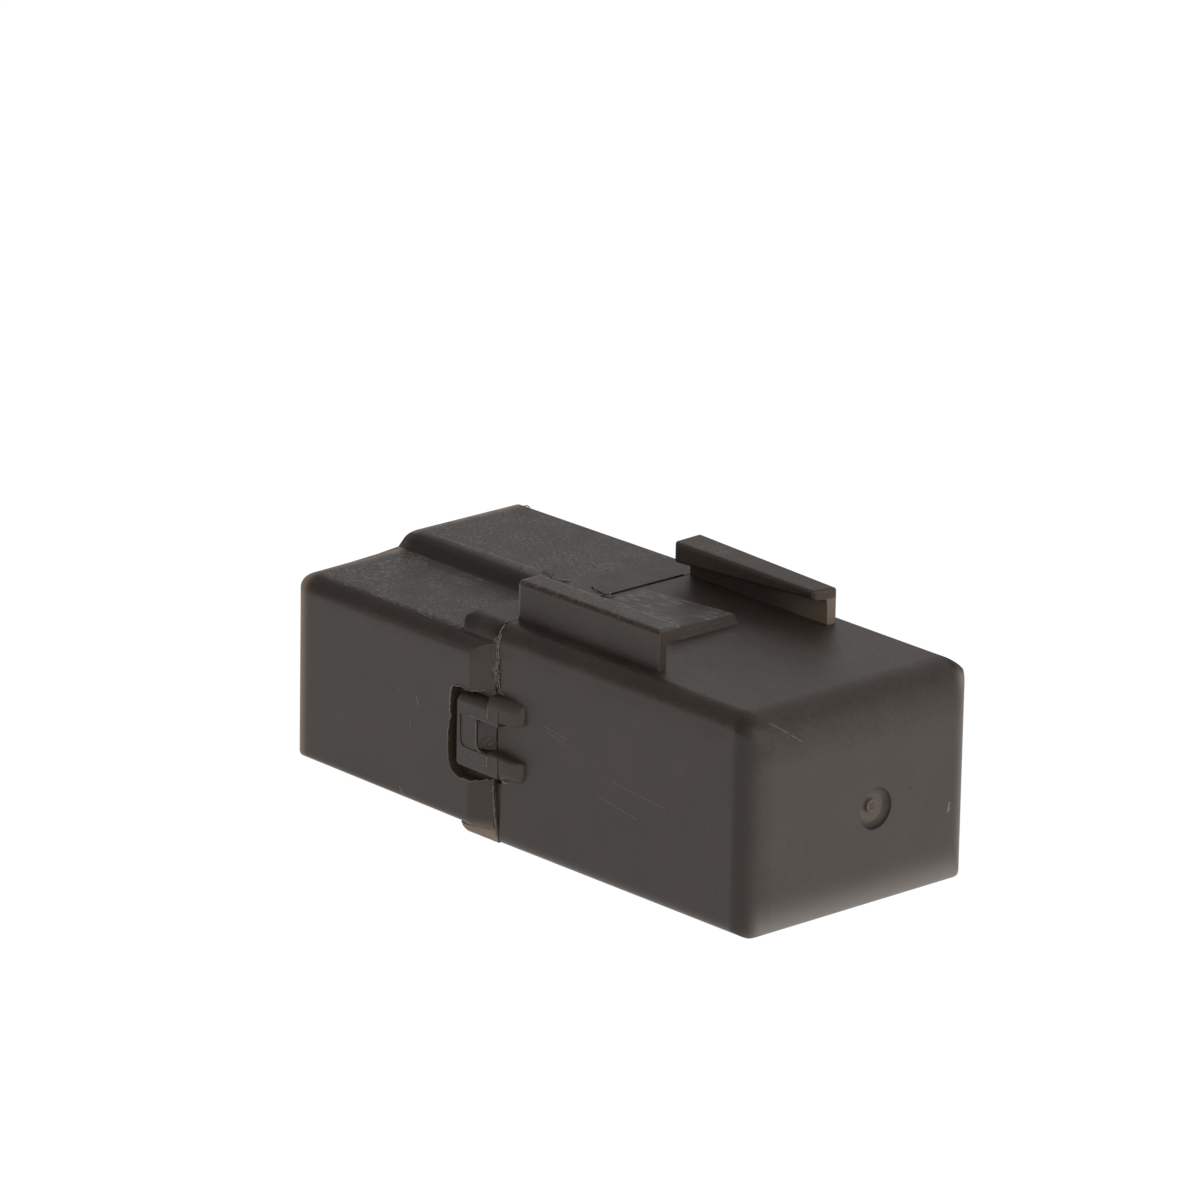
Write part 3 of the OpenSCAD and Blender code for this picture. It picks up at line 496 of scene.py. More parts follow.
def backRail():
    y0, top = 11.65, rails["top"]  # the back of the web at its left end
    bm = prism("X", [(y0, 19.85), (y0, top), (8.3, 24.12), (8.3, 22.0), (10.4, 22.4), (10.5, 19.85)],
               rails["start"], rails["length"])
    for v in bm.verts:  # slimmer towards its right end
        if v.co.x > 1:
            v.co.y += -0.45 if v.co.y > 9 else 0.35
            if v.co.z > 23:
                v.co.z -= 0.36
            elif v.co.z > 21:
                v.co.z += 0.52
            if v.co.y < 9:
                v.co.x -= 0.5
                v.co.z += 0.4 if v.co.z < 23 else 0
    return rounded(bm, [("X", y0 - 0.2, 24.0, 0.4), ("X", 8.4, 23.9, 0.3),
                        ("Z", 0, 8.3, 0.45), ("Y", 0, 22.2, 0.3),
                        ("X", 8.4, 22.7, 0.35), ("X", 10.3, 22.7, 0.3),
                        ("Y", 0, 24, 0.3), ("Y", 18, 23.7, 0.2),
                        ("Z", 18, 8.7, 0.6), ("Z", 18, 11.1, 0.25),
                        ("Z", 0, 11.65, 0.25)], 5, 0.55)


def lockRamp():
    bm = block((0.25, -4.0, 20.0), (13.0, 4.3, 21.42))
    for v in bm.verts:  # rises from the joint, with a sloped end
        if v.co.z > 21:
            if v.co.x > 1:
                v.co.x, v.co.y = 12.4, (-3.05 if v.co.y < 0 else 3.92)
            else:
                v.co.z, v.co.y = 20.53, v.co.y * 0.99
    return rounded(bm, [("Y", 12.4, 21.42, 0.18), ("X", -3.5, 21, 0.16),
                        ("X", 4.1, 21, 0.14)], 3, 0.7)


def latchRib(inner, outer):  # from the window outwards, the outer edge well rounded
    way = math.copysign(1, outer - inner)
    front, bend, length = latch["ribFront"], latch["ribBend"], latch["ribLength"]
    bm = prism("Z", [(0, -11.9), (0, front), bend, (length, latch["ribEnd"]), (length, -11.9)], inner, outer)
    for v in bm.verts:  # slimmer towards its end
        v.co.z += way * 0.35 * v.co.x / length if abs(v.co.z - inner) < 0.1 else 0
    near, far = (front + bend[1]) / 2, (bend[1] + latch["ribEnd"]) / 2
    return rounded(bm, [("X", near, inner + way * 0.11, 0.25),
                        ("X", far, inner + way * 0.29, 0.25),
                        ("X", near, outer, 1.1), ("X", far, outer, 1.1),
                        ("Z", length, latch["ribEnd"], 0.5),
                        ("Y", length, outer, 0.8), ("Y", length, inner + way * 0.35, 0.25),
                        ("Z", 0, front, 0.06)], 8, 0.14)


def frontTongue():
    k = latch
    left, front, low, high = -k["tongueLength"], k["front"], k["tongueLow"], k["tongueHigh"]
    tongue = rounded(block((left, front, low), (1.3, -13.06, high)), [
        ("Y", left, low, 0.8), ("Y", left, high, 0.7), ("X", front, high, 0.9),
        ("X", front, low, 0.2), ("Z", left, front, 0.16)], 6, 0.2)
    panel = rounded(block((-k["panelLength"], front - 0.5, 8.5), (0, front + k["panelDepth"], 11.65)),
                    [("Y", -k["panelLength"], 8.5, 0.7), ("Y", -k["panelLength"], 11.65, 0.2)],
                    3, 0.2)
    window = rounded(block((-k["windowLength"], -15, k["windowLow"]), (2.5, -13, k["windowHigh"])),
                     [("Y", -k["windowLength"], k["windowLow"], 0.45)], 4, 0.2)
    return cutBy(tongue, panel, window)


def backTongue():
    left, low, high = -latch["tongueLength"], latch["tongueLow"], latch["tongueHigh"]
    tongue = rounded(block((left, half - 1.25, low), (1.3, half, high)), [
        ("Y", left, low, 0.8), ("Y", left, high, 0.8), ("Z", left, half, 0.15)],
        5, 0.2)
    return cutBy(tongue, block((-1.7, 10, 8.55), (2.5, 15, 11.45)))


def buildCover():
    body = coverShell()
    end, (gateY, gateZ) = cover["length"], gate["spot"]
    bowl = bmesh.new()
    bmesh.ops.create_uvsphere(bowl, u_segments=40, v_segments=20, radius=1)
    bmesh.ops.scale(bowl, vec=(gate["depth"], gate["radius"], gate["radius"]), verts=bowl.verts)
    bmesh.ops.translate(bowl, vec=(end + 0.03, gateY, gateZ), verts=bowl.verts)
    cutBy(body, bowl)
    stub = rod("X", end - 1, end - gate["stubTop"], gate["stub"], gate["stubRadius"], 24)
    joined(body, stub, frontRail(), backRail(), lockRamp())
    joined(body, latchRib(*latch["upperRib"]), latchRib(*latch["lowerRib"]), frontTongue(), backTongue())
    soften(body, 0.09, lambda p: p.x > 32 and (p.y - gateY) ** 2 + (p.z - gateZ) ** 2 < 5)
    soften(body, 0.07, lambda p: p.x < 0.02 and p.y < -14 and 8 < p.z < 12)
    soften(body, 0.08, lambda p: abs(p.x) < 0.02 and (abs(p.y) > 12.9 or p.z > 20.3 or p.z < 0.1) and abs(p.y) < 13.2)
    return body


coverPiece = settle(buildCover(), "cover", coverPlastic, "cover_plastic", nodes=["cover"])
print("cover made:", len(coverPiece.data.polygons), "faces")


# connector housing

collar = {"length": 5.0, "ends": [(0, 0.2), (5.6, -0.22), (13.5, -0.24), (20.5, -0.38)]}  # height, end of the collar
base = {  # hollows are two corners, other places are Y and Z
    "mouth": ((-30, -12.65, 2.75), (-4.5, 11.5, 17.6)), "mouthTop": ((-30, -0.7, 10), (-4.5, 11.5, 19.0)),
    "pocket": ((-1.5, -10.35, 2.65), (6, 10.35, 17.85)), "plate": ((-0.5, -11.55, 1.45), (3.5, 11.55, 19.05)),
    "joint": ((-1, -12.8, 0.5), (0.7, -12.3, 5.6)),  # behind the joint's open stretch
    "groove": ((-0.72, -1.2, 20.24), (0.2, 9.9, 21)), "backNotch": ((-4.6, 11.65, 6.3), (1, 15, 13.8)),
    "slots": [(-8.2, 6.55), (-0.4, 6.55), (7.4, 6.55), (-8.2, 13.95), (7.4, 13.95)], "slot": (3.2, 0.45),
    "posts": [(-3.5, 5.05), (-3.5, 15.45), (5.9, 5.05), (5.9, 15.45)], "barb": (8.75, 11.3),
}
notchEdge = [  # the torn edge of the notch round the tongue, from below (X, Z)
    (-0.2, 6.05), (-0.55, 5.86), (-0.95, 5.9), (-1.3, 5.66), (-1.9, 5.58), (-2.5, 5.4), (-2.95, 5.52), (-3.6, 5.44),
    (-4.2, 5.56), (-4.75, 5.75), (-5.1, 6.15), (-5.32, 6.8), (-5.46, 7.9), (-5.4, 8.7), (-5.44, 9.5), (-5.28, 10.0),
    (-5.22, 10.6), (-5.0, 11.05), (-5.2, 11.3), (-5.2, 12.2), (-5.12, 13.2), (-5.02, 13.7), (-4.7, 13.98),
    (-4.2, 14.02), (-3.85, 14.14), (-3.4, 14.1), (-3.15, 13.96), (-2.83, 14.02), (-2.4, 13.98), (-2.1, 14.12),
    (-1.7, 14.1), (-1.1, 14.34), (-0.6, 14.3), (-0.2, 14.32),
]


def frontOf(x):  # the front wall, flat and then sloping to the collar
    return shroud["front"] + max(0, x + shroud["fade"]) * shroud["slope"] if x < -0.1 else -half


def shroudBody():
    s = shroud
    top, foot, crest = cover["height"] + 0.02, -2.5, -1.25
    bm = prism("X", [(s["front"], s["bottom"]), (s["front"], s["top"]), (foot, s["top"]), (crest, top),
                     (half, top), (half, s["bottom"])], -s["length"], -0.4)
    for v in bm.verts:
        if v.co.x < -20:
            shift = s["length"] * s["draft"]
            if v.co.y < -3:
                v.co.y += shift
            elif v.co.y < 0:
                v.co.y += 0.35 if v.co.z < 20 else 0.55
            v.co.z -= math.copysign(shift, v.co.z - 10) * (0.65 if v.co.z > 10 else 1)
        elif v.co.y < -10:
            v.co.x = -0.2
    end = -s["length"]
    body = rounded(bm, [
        ("X", -13.8, 19.0, s["topRound"]), ("X", -13.8, s["bottom"], s["edgeRound"]),
        ("X", half, top, 0.6), ("X", half, s["bottom"], s["edgeRound"]),
        ("X", foot + 0.2, s["top"], 0.7), ("X", crest + 0.3, top, 1.0),
        ("Y", end, s["bottom"], 0.5), ("Z", end, s["front"], 0.5),
        ("Z", end, half, 0.5), ("Y", end, s["top"], 0.7), ("Y", end, top, 0.35)],
        8, 0.9)
    start = -s["fade"]  # the front wall slopes back to the collar
    cutBy(body, prism("Z", [(start, -14.2), (0.6, -12.78), (0.6, -17), (start, -17)], -1, 25))
    return soften(body, 0.9, lambda p: abs(p.x - start) < 0.25 and p.y < -13.9, 6, 8)


def collarBody():
    c, top = cover, cover["height"]
    bm = slanted(block((-collar["length"], -half, 0), (0, half, top)), collar["ends"], lambda x: x > -1)
    return rounded(bm, [
        ("X", -half, top, c["topFrontRound"]), ("X", half, top, c["topBackRound"]),
        ("X", -half, 0, 0.4), ("X", half, 0, 0.4),
        ("Y", -5, 0, 1.2), ("Y", -5, top, 0.4), ("Z", -5, -half, 0.5),
        ("Z", -5, half, 0.5), ("Y", -0.3, top, 0.1), ("Y", -0.3, 0, 0.1),
        ("Z", -0.3, -half, 0.1), ("Z", -0.3, half, 0.1)], 8, 0.5)


def buildHousing():
    b = base
    body = shroudBody()
    joined(body, collarBody(), block(*b["plate"]))
    cutBy(body, roundedBlock(*b["mouth"], 0.5))
    cutBy(body, roundedBlock(*b["mouthTop"], 0.4, heights=(b["mouthTop"][1][2],), slack=0.2))
    cutBy(body, roundedBlock(*b["pocket"], 0.3, 3))
    cutBy(body, prism("Y", [(1, 6.1), *notchEdge, (1, 14.3)], -16, -13.0))
    joined(body, block(*b["joint"]))
    cutBy(body, block(*b["groove"]), block(*b["backNotch"]))
    wide, thick = b["slot"]
    for y, z in b["slots"]:
        cutBy(body, block((-6, y - wide, z - thick), (0, y + wide, z + thick)))
    joined(body, prism("Z", [(-0.05, -12.95), (-0.05, -13.1), (-1.6, -13.9), (-1.6, -12.95)], *b["barb"]))
    joined(body, prism("Z", [(-0.05, 11.6), (-0.05, 11.75), (-1.6, 12.5), (-1.6, 11.6)], *b["barb"]))
    joined(body, prism("Y", [(-20.6, 19.05), (-17.6, 19.05), (-17.6, 18.2), (-18.2, 18.2)], 4.3, 8.7))  # plug nib
    for spot in b["posts"]:
        joined(body, rod("X", -1.55, 2.0, spot, 1.0, 24))
    soften(body, 0.12, lambda p: p.y < -13.05 and -5.6 < p.x < -0.1 and 5.3 < p.z < 14.5)
    return soften(body, 0.2, lambda p: p.x < -26.3)


housingPiece = settle(buildHousing(), "connectorHousing", basePlastic, "base_plastic", nodes=["connector_housing"])
print("housing made:", len(housingPiece.data.polygons), "faces")


# burrs and torn edges, and pale strands that paint highlights on the ribs' ends

burrs = {
    "radius": 0.068, "wobble": 0.07,
    "seam": [(-0.29, 20.3), (-0.24, 19.85), (-0.15, 19.16), (-0.25, 18.2), (-0.1, 17.3), (-0.35, 16.4), (-0.12, 15.6),
             (0.08, 14.6)],  # X and Z, on the front
    "chewed": {"count": 46, "low": 15.0, "high": 19.2, "spread": 0.85},
    "below": [(-0.34, 6.0), (-0.26, 4.4), (-0.14, 2.6), (0.1, 0.6)],
    "wall": [(-3.5, -14.1, 1.36), (-2.8, -14.1, 1.25), (-0.4, -13.18, 1.24)],
    "panel": [(-3.75, -14.13, 11.6), (-2.1, -14.12, 11.68), (-0.1, -14.14, 11.7)],
    "window": [(-1.7, -14.08, 11.35), (-1.7, -14.08, 9.2), (-1.4, -14.08, 8.7), (-0.9, -14.1, 8.55)],
    "chip": [(1.6, -13.75, 6.46), (2.0, -13.72, 6.4), (2.45, -13.66, 6.5)],
    "knot": [(0.2, -13.15, 14.3), (0.5, -13.1, 14.36), (0.85, -13.08, 14.25)],
    "hairs": [  # loose fibres and shavings on the top: points, thickness
        ([(-8.25, 0.75, 20.55), (-8.3, 0.9, 21.0), (-8.1, 0.95, 21.45)], 0.5),
        ([(-9.5, 0.6, 20.55), (-8.9, 0.9, 20.7), (-8.28, 0.75, 20.6), (-8.0, 0.9, 20.56)], 0.45),
        ([(-9.3, 0.5, 20.54), (-8.45, 0.5, 20.6), (-7.56, 0.1, 20.6), (-6.6, -0.4, 20.58)], 0.6),
        ([(-7.0, -0.3, 20.56), (-6.5, -0.25, 20.62), (-6.1, 0.1, 20.62), (-5.75, 0.6, 20.56)], 1.5),
        ([(-6.9, 1.1, 20.54), (-6.2, 0.9, 20.66), (-5.7, 0.55, 20.55)], 0.5),
        ([(-3.3, 1.1, 20.54), (-2.6, 0.74, 20.64), (-1.6, 0.58, 20.6), (-0.62, 0.41, 20.56)], 0.9),
        ([(-0.77, 1.15, 20.54), (-0.1, 0.4, 20.68), (0.2, 0.1, 20.56)], 0.8),
        ([(-0.45, -0.1, 20.55), (0.0, 0.2, 20.62), (0.3, 0.7, 20.58)], 0.9),
        ([(-25.5, 12.6, 20.42), (-25.1, 12.6, 20.55), (-24.7, 12.65, 20.42)], 0.8),
    ],
}


def skin(x, z):  # where the front surface lies near the joint
    faces = ((frontOf(x), shroud["top"], shroud["topRound"]), (-half, cover["height"], cover["topFrontRound"]))
    return min(front + r - math.sqrt(max(0, r * r - max(0, z - top + r) ** 2)) if z < top else front + 9
               for front, top, r in faces)


def curveOf(lines, radius, sides=2, kind="POLY"):  # lines: lists of points, each with its own thickness
    data = bpy.data.curves.new("line", "CURVE")
    data.dimensions, data.bevel_depth, data.bevel_resolution, data.use_fill_caps = "3D", radius, sides, True
    for line in lines:
        spline = data.splines.new(kind)
        spline.points.add(len(line) - 1)
        for point, (place, thick) in zip(spline.points, line):
            point.co, point.radius = (*place, 1), thick
        if kind == "NURBS":
            spline.order_u, spline.use_endpoint_u, spline.resolution_u = 3, True, 6
    piece = bpy.data.objects.new("line", data)
    bpy.context.scene.collection.objects.link(piece)
    graph = bpy.context.evaluated_depsgraph_get()
    mesh = bpy.data.meshes.new_from_object(piece.evaluated_get(graph))
    bpy.data.objects.remove(piece)
    made = bpy.data.objects.new("line", mesh)
    bpy.context.scene.collection.objects.link(made)
    return made


def ragged(points, seed, wobble=burrs["wobble"], step=0.16, thick=1.0):  # the same line, uneven like torn plastic
    line = []
    for a, b in zip(points, points[1:]):
        a, b = Vector(a), Vector(b)
        count = max(1, int((b - a).length / step))
        for i in range(count):
            spot = a.lerp(b, i / count)
            shake = noise.noise_vector(spot * 3.1 + Vector((seed, 0, 0))) * wobble
            shake.y = abs(shake.y) * -0.4
            line.append((spot + shake, thick * (0.75 + 0.9 * abs(noise.noise(spot * 2.3 + Vector((0, seed, 0)))))))
    line.append((Vector(points[-1]), 0.4))
    line[0] = (line[0][0], 0.4)
    return line


def buildBurrsAndGlints():
    noise.seed_set(5)  # else noise_vector gives other curls in each run
    edge = [(x, frontOf(x) - 0.01, z) for x, z in notchEdge]
    seam = [(x, skin(x, z) - 0.03, z) for x, z in burrs["seam"]]
    lines = [ragged(edge, 1, 0.05), ragged([(-0.75, -11.3, 20.52), *seam], 2, thick=1.2),
             ragged([(x + 0.24, y, z) for x, y, z in seam[1:]], 5),
             ragged([(x, skin(x, z), z) for x, z in burrs["below"]], 7, 0.04, thick=1.3)]
    lines += [ragged(burrs[key], 8 + i, 0.03) for i, key in enumerate(("wall", "panel", "window"))]
    chewed = burrs["chewed"]
    for i in range(chewed["count"]):  # short curls in the chewed stretch of the seam
        shake = noise.noise_vector(Vector((i * 1.7, 3.3, 0.5)))
        x = -0.2 + chewed["spread"] * shake.x
        z = chewed["low"] + (chewed["high"] - chewed["low"]) * (i + 0.5) / chewed["count"]
        spots = [(x, z), (x + 0.35 * shake.y, z + 0.15), (x + 0.3 * shake.z, z + 0.35)]
        curl = [(u, skin(u, w) - 0.03 - 0.05 * (k == 1), w) for k, (u, w) in enumerate(spots)]
        lines.append(ragged(curl, i, 0.1, 0.08, 0.85))
    # pale strands along the ribs' rounded left ends: a painted highlight on those edges
    for inner, outer in (latch["upperRib"], latch["lowerRib"]):  # round the ribs' left ends
        way = math.copysign(1, outer - inner)
        front = latch["ribFront"]
        arc = [(0.0, front + 1.15 - 1.1 * math.sin(a), outer - way * (1.1 - 1.1 * math.cos(a)))
               for a in (math.radians(d) for d in (10, 30, 50, 70, 90))]
        lines.append(ragged([*arc, (0.0, front, inner + way * 0.3)], way, 0.02, thick=1.05))
    lines += [ragged(burrs["chip"], 4, 0.02, 0.1, 1.5), ragged(burrs["knot"], 6, 0.03, 0.1, 1.2)]
    lines += [ragged(points, 11 + i, 0.05, 0.12, thick) for i, (points, thick) in enumerate(burrs["hairs"])]
    return settle(curveOf(lines, burrs["radius"]), "mouldBurrsAndGlints", chewedPlasticAndGlint, "base_plastic")


burrAndGlintPiece = buildBurrsAndGlints()
print("burrs made:", len(burrAndGlintPiece.data.polygons), "faces")


# metals and the other inner finishes

metallic = 0.92
metals = {  # colour, darker colour, roughness, brushing along X, spots
    "platedIron": (rgb(0.56, 0.55, 0.52), rgb(0.4, 0.39, 0.37), 0.36, (0.15, 1, 1), rgb(0.3, 0.27, 0.22)),
    "bronzeStrip": (rgb(0.72, 0.46, 0.2), rgb(0.55, 0.32, 0.13), 0.30, (1, 0.12, 1), rgb(0.36, 0.2, 0.09)),
    "contactSilver": (rgb(0.82, 0.81, 0.78), rgb(0.62, 0.6, 0.56), 0.27, (1, 1, 1), rgb(0.3, 0.28, 0.25)),
    "springWire": (rgb(0.6, 0.6, 0.59), rgb(0.42, 0.42, 0.41), 0.26, (1, 1, 1), None),
    "tinnedBrass": (rgb(0.76, 0.68, 0.5), rgb(0.7, 0.57, 0.34), 0.38, (0.12, 1, 1), rgb(0.34, 0.27, 0.15)),
    "enamelledCopper": (rgb(0.56, 0.2, 0.07), rgb(0.38, 0.11, 0.035), 0.22, (1, 1, 1), None),
    "bareCopper": (rgb(0.72, 0.36, 0.19), rgb(0.48, 0.21, 0.1), 0.34, (1, 1, 1), rgb(0.24, 0.11, 0.05)),
    "tinnedWire": (rgb(0.66, 0.66, 0.65), rgb(0.48, 0.48, 0.46), 0.34, (1, 1, 0.15), None),
}


def makeMetal(name):
    tint, shade, rough, stretch, spots = metals[name]
    f = Finish(name)
    cloud = f.noise(0.45, 3.0, shift=1.3)
    lines = f.noise(7.0, 3.0, 0.6, stretch, 2.2)
    pits = f.noise(14.0, 2.0, shift=6.0)
    colour = f.mix((cloud * 0.8 + lines * 0.5 - 0.15).fade(0.3, 0.75), shade, tint)
    if spots:
        colour = f.mix(f.noise(1.8, 5.0, 0.7, shift=9.1).fade(0.60, 0.76) * 0.8, colour, spots)
    height = lines * 0.003 + pits * 0.0015
    return f.finished(colour, rough + (lines - 0.5) * 0.22 + (cloud - 0.5) * 0.12, metallic, height)


finishes = {name: makeMetal(name) for name in metals}

resistor = {
    "spot": (5.0, 10.35, 10.25), "length": 4.8, "radius": 1.2,
    "profile": [(0, -0.5), (0.62, -0.5), (0.92, -0.47), (1.0, -0.4), (1.0, -0.3), (0.9, -0.22), (0.86, -0.1),
                (0.86, 0.1), (0.9, 0.22), (1.0, 0.3), (1.0, 0.4), (0.92, 0.47), (0.62, 0.5), (0, 0.5)],
    "bands": [(-1.55, rgb(0.16, 0.07, 0.03)), (-0.75, rgb(0.01, 0.01, 0.01)), (0.05, rgb(0.16, 0.07, 0.03)),
              (1.45, rgb(0.45, 0.28, 0.06))],
}


def glazedBody():
    f = Finish("glazedBody")
    cloud = f.noise(0.9, 3.0)
    colour = f.mix(cloud.fade(0.35, 0.7), rgb(0.045, 0.13, 0.24), rgb(0.06, 0.17, 0.3))
    bandMask = 0.0
    for offset, tint in resistor["bands"]:
        edge = (f.z - (resistor["spot"][2] + offset) + (f.noise(1.4, 2.0) - 0.5) * 0.12).maths("ABSOLUTE")
        band = 1 - edge.fade(0.22, 0.27)
        colour, bandMask = f.mix(band, colour, tint), band + bandMask
    return f.finished(colour, 0.2 + (cloud - 0.5) * 0.15, height=bandMask * 0.02 + f.noise(2.5, 2.0) * 0.01)


glazed = glazedBody()
print("inner finishes made")


# inner pieces

inner = [  # finish, slot, round of the edges, body, CAD nodes
    (bobbinPlastic, "bobbin_plastic", 0.16, "case", ["coil_bobbin"]),
    (finishes["platedIron"], "iron", 0.2, "case", ["iron_core", "yoke"]),
    (finishes["platedIron"], "iron", 0.16, "armature_group", ["armature"]),
    (finishes["bronzeStrip"], "spring_bronze", 0.06, "armature_group", ["contact_leaf"]),
    (finishes["platedIron"], "iron", 0.14, "armature_group", ["leaf_rivets"]),
    (finishes["contactSilver"], "contact_silver", 0.18, "armature_group", ["moving_contact"]),
    (finishes["contactSilver"], "contact_silver", 0.18, "case", ["open_contact", "closed_contact"]),
    (finishes["tinnedBrass"], "blade_brass", 0.08, "case",
     ["open_terminal", "closed_terminal", "common_terminal", "upper_coil_terminal", "lower_coil_terminal"]),
    (finishes["tinnedWire"], "tinned_wire", 0.08, "case", ["resistor_leads"]),
]


def polished(node, material, slotName, width, body):  # a merged copy of the CAD solid with its edges broken
    bm = bmesh.new()
    bm.from_mesh(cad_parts[node].data)
    bmesh.ops.transform(bm, matrix=toFrame.inverted(), verts=bm.verts)
    bmesh.ops.remove_doubles(bm, verts=bm.verts, dist=0.002)
    bmesh.ops.dissolve_limit(bm, angle_limit=math.radians(0.6), verts=bm.verts, edges=bm.edges)
    piece = put(bm)
    bevel = piece.modifiers.new("round", "BEVEL")
    bevel.limit_method, bevel.angle_limit, bevel.width, bevel.segments = "ANGLE", math.radians(40), width, 3
    first, *rest = node.split("_")
    return settle(applied(piece), first + "".join(word.title() for word in rest), material, slotName, body, [node])


for material, slotName, width, body, nodes in inner:
    for node in nodes:
        polished(node, material, slotName, width, body)
print("polished pieces made")

wound = {  # middle (Y, Z), ring radius, wire, first X, turns and pitches
    "winding": {"centre": (0.7, 10.25), "ring": 5.33, "wire": 0.34, "start": 5.12, "runs": [(52, 0.3406)],
                "steps": 40, "sides": 6, "under": (5.0, 22.95, 5.2)},  # under: the lower layers, from, to, radius
    "spring": {"centre": (10.25, 10.25), "ring": 0.95, "wire": 0.4, "start": 10.9,
               "runs": [(1, 2.2), (14, 0.857), (1, 2.2)], "steps": 24, "sides": 10},
}


def coiled(key):
    c = wound[key]
    y, z = c["centre"]
    bm = bmesh.new()
    bmesh.ops.create_circle(bm, segments=c["sides"], radius=c["wire"] / 2)
    bmesh.ops.translate(bm, vec=(c["start"], y - c["ring"], z), verts=bm.verts)
    ring = bm.verts[:] + bm.edges[:]
    for turns, pitch in c["runs"]:
        steps = turns * c["steps"]
        ring = bmesh.ops.spin(bm, geom=ring, cent=(0, y, z), axis=(1, 0, 0), dvec=(pitch / c["steps"], 0, 0),
                              angle=math.radians(360 * turns), steps=steps, use_merge=False)["geom_last"]
    bmesh.ops.holes_fill(bm, edges=bm.edges, sides=0)
    bmesh.ops.recalc_face_normals(bm, faces=bm.faces)
    return bm


def buildWinding():
    bm = coiled("winding")
    start, end, radius = wound["winding"]["under"]
    under = rod("X", start, end, wound["winding"]["centre"], radius)
    mesh = bpy.data.meshes.new("under")
    under.to_mesh(mesh)
    under.free()
    bm.from_mesh(mesh)
    return put(bm)


settle(buildWinding(), "coilWinding", finishes["enamelledCopper"], "coil_wire", "case", ["coil_winding"], 60)
settle(put(coiled("spring")), "returnSpring", finishes["springWire"], "spring_steel", "case", ["return_spring"], 60)


braid = {
    "along": 19.4, "side": 9.7, "height": 14.35, "corner": (26.9, 8.2), "bend": 1.5, "end": 2.5, "strands": 7,
    "ring": 0.5, "wire": 0.15, "pitch": 3.4, "ripple": 0.05, "steps": 150, "core": 2.9, "coreSteps": 40,
}


def braidPath(s):  # place and outward direction after s millimetres
    b = braid
    straight, arc = b["corner"][0] - b["along"], b["bend"] * math.pi / 2
    if s < straight:
        return Vector((b["along"] + s, b["side"], b["height"])), Vector((0, 1, 0))
    if s < straight + arc:
        turn = (s - straight) / b["bend"]
        out = Vector((math.sin(turn), math.cos(turn), 0))
        return Vector((*b["corner"], b["height"])) + out * b["bend"], out
    return Vector((b["corner"][0] + b["bend"], b["corner"][1] - (s - straight - arc), b["height"])), Vector((1, 0, 0))


def buildBraid():
    b = braid
    length = b["corner"][0] - b["along"] + b["bend"] * math.pi / 2 + b["corner"][1] - b["end"]
    lines = []
    for way in (-1, 1):
        for k in range(b["strands"]):
            line = []
            for i in range(b["steps"] + 1):
                s = length * i / b["steps"]
                place, out = braidPath(s)
                angle = 2 * math.pi * (k / b["strands"] + way * s / b["pitch"])
                ripple = b["ripple"] * way * math.cos(2 * math.pi * s / b["pitch"] * b["strands"])
                toward = out * math.cos(angle) + Vector((0, 0, 1)) * math.sin(angle)
                line.append((place + toward * (b["ring"] + ripple), 1))
            lines.append(line)
    steps = b["coreSteps"]
    lines.append([(braidPath(length * i / steps)[0], b["core"]) for i in range(steps + 1)])
    return curveOf(lines, b["wire"], 1)


settle(buildBraid(), "copperBraid", finishes["bareCopper"], "coil_wire", "case", ["copper_braid"], 60)


lead = {  # middle height, distances up and down from it, places along X
    "middle": 10.25, "out": 7.55, "face": 4.35, "start": 4.35, "end": 2.35, "lug": 3.7, "side": 9.675,
    "radius": 0.25, "bend": 0.5,
}


def coilLead(side):  # from the bobbin's lug, past the yoke, to its terminal
    k = lead
    out, face = k["middle"] + side * k["out"], k["middle"] + side * k["face"]
    corners = [Vector(c) for c in ((k["start"], k["lug"], out), (k["start"], k["side"], out),
                                   (k["start"], k["side"], face), (k["end"], k["side"], face))]
    line = [corners[0]]
    for before, corner, after in zip(corners, corners[1:], corners[2:]):
        line += [corner + (before - corner).normalized() * k["bend"], corner,
                 corner + (after - corner).normalized() * k["bend"]]
    line.append(corners[-1])
    return curveOf([[(place, 1) for place in line]], k["radius"], 3, "NURBS")


for side, word in ((1, "upper"), (-1, "lower")):
    settle(coilLead(side), word + "CoilLead", finishes["enamelledCopper"], "coil_wire", "case",
           [word + "_coil_lead"], 60)


def buildResistor():
    r = resistor
    x, y, z = r["spot"]
    bm = bmesh.new()
    verts = [bm.verts.new((x + a * r["radius"], y, z + b * r["length"])) for a, b in r["profile"]]
    edges = [bm.edges.new(pair) for pair in zip(verts, verts[1:])]
    bmesh.ops.spin(bm, geom=verts + edges, cent=(x, y, 0), axis=(0, 0, 1), angle=2 * math.pi, steps=32, use_merge=True)
    bmesh.ops.remove_doubles(bm, verts=bm.verts, dist=0.001)
    bmesh.ops.recalc_face_normals(bm, faces=bm.faces)
    piece = put(bm)
    smooth = piece.modifiers.new("smooth", "SUBSURF")
    smooth.levels = smooth.render_levels = 1
    return applied(piece)


settle(buildResistor(), "suppressionResistor", glazed, "resistor_body", "case", ["suppression_resistor"], 60)
print("inner pieces made")


# camera

view = {"azimuth": 47.5961, "elevation": 18.1429, "roll": 1.0468, "aim": (-9.352, -21.8174), "distance": 735.13,
        "lens": 245.37}


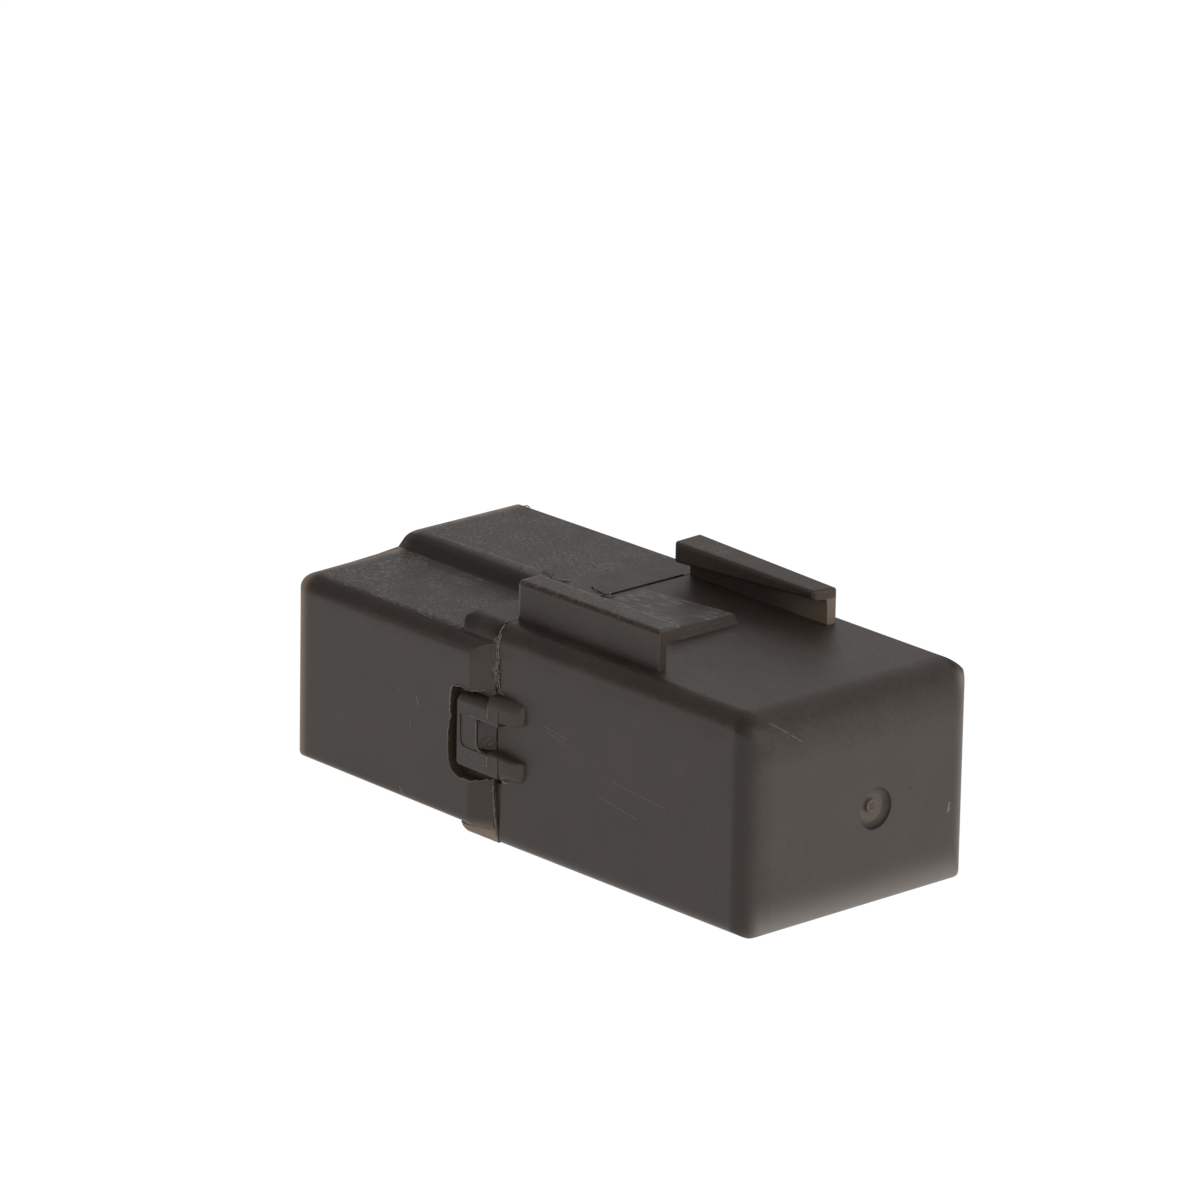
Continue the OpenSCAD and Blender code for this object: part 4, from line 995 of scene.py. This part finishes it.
def addCamera():
    turn, lift, roll = (math.radians(view[k]) for k in ("azimuth", "elevation", "roll"))
    forward = Vector((-math.sin(turn) * math.cos(lift), math.cos(turn) * math.cos(lift), -math.sin(lift)))
    level = Vector((math.cos(turn), math.sin(turn), 0))
    right = level * math.cos(roll) + level.cross(forward) * math.sin(roll)
    up = level.cross(forward) * math.cos(roll) - level * math.sin(roll)
    spot = -right * view["aim"][0] - up * view["aim"][1] - forward * view["distance"]
    spot += origin - Vector((0, half, 0))  # the aim was measured from the front face
    data = bpy.data.cameras.new("camera")
    data.lens, data.sensor_width = view["lens"], 36
    data.clip_start, data.clip_end = 0.05, 20
    camera = bpy.data.objects.new("camera", data)
    axes = Matrix((right, up, -forward)).transposed()
    camera.matrix_world = Matrix.Translation(spot / 1000) @ axes.to_4x4()
    bpy.context.scene.collection.objects.link(camera)
    bpy.context.scene.camera = camera


addCamera()


# floor and world; the world's bright lobes light the object

light = {
    "floorRadius": 3, "floorWhite": 0.9, "floorGlow": 0.88, "glowStrength": 1.12, "sky": 0.1,
    "lobe": (0.5, 0.98),  # cosines at which a lobe starts and is full
    "lobes": {  # heading and height in degrees, strength
        "cameraLow": (-42, 8, 0.5), "leftLow": (-138, 8, 0.12), "rightLow": (42, 8, 0.05), "backLow": (138, 8, 0.31),
        "sideLow": (0, 4, 1.17), "backSide": (90, 8, 0.6), "leftHigh": (-138, 50, 0.05),
        "rightHigh": (42, 50, 0.05), "backHigh": (138, 50, 0.05), "above": (0, 90, 0.05),
    },
}


def addFloor():
    bm = bmesh.new()
    bmesh.ops.create_circle(bm, cap_ends=True, segments=64, radius=light["floorRadius"])
    floor = put(bm, "floor")
    f = Finish("paleFloor")
    path = {name: f.node("ShaderNodeLightPath", out=name) for name in
            ("Is Camera Ray", "Is Glossy Ray", "Is Transmission Ray")}
    seen = path["Is Camera Ray"].maths("MAXIMUM", path["Is Glossy Ray"]).maths("MAXIMUM", path["Is Transmission Ray"])
    matt = f.node("ShaderNodeBsdfDiffuse", {}, {"Color": rgb(*(light["floorWhite"],) * 3)})
    glow = f.node("ShaderNodeEmission", {}, {"Color": rgb(1, 1, 1), "Strength": light["glowStrength"]})
    both = f.node("ShaderNodeMixShader", {}, {0: seen * light["floorGlow"], 1: matt, 2: glow})
    f.node("ShaderNodeOutputMaterial", {}, {"Surface": both})
    floor.data.materials.append(f.material)


def addWorld():
    world = bpy.data.worlds.new("studio")
    bpy.context.scene.world = world
    world.use_nodes = True
    tree = world.node_tree
    tree.nodes.clear()
    toward = makeNode(tree, "ShaderNodeTexCoord", {}, {}, "Generated")
    sky = light["sky"]
    for heading, height, strength in light["lobes"].values():
        turn, lift = math.radians(heading), math.radians(height)
        axis = (math.cos(turn) * math.cos(lift), math.sin(turn) * math.cos(lift), math.sin(lift))
        facing = makeNode(tree, "ShaderNodeVectorMath", {"operation": "DOT_PRODUCT"}, {0: toward, 1: axis}, "Value")
        sky = facing.fade(*light["lobe"]) * strength + sky
    seen = makeNode(tree, "ShaderNodeLightPath", {}, {}, "Is Camera Ray")
    strength = sky * (1 - seen) + seen
    back = makeNode(tree, "ShaderNodeBackground", {}, {"Color": rgb(1, 1, 1), "Strength": strength})
    makeNode(tree, "ShaderNodeOutputWorld", {}, {"Surface": back})


addFloor()
addWorld()
bpy.context.scene.view_settings.view_transform = "Standard"
print("camera, floor and world made")
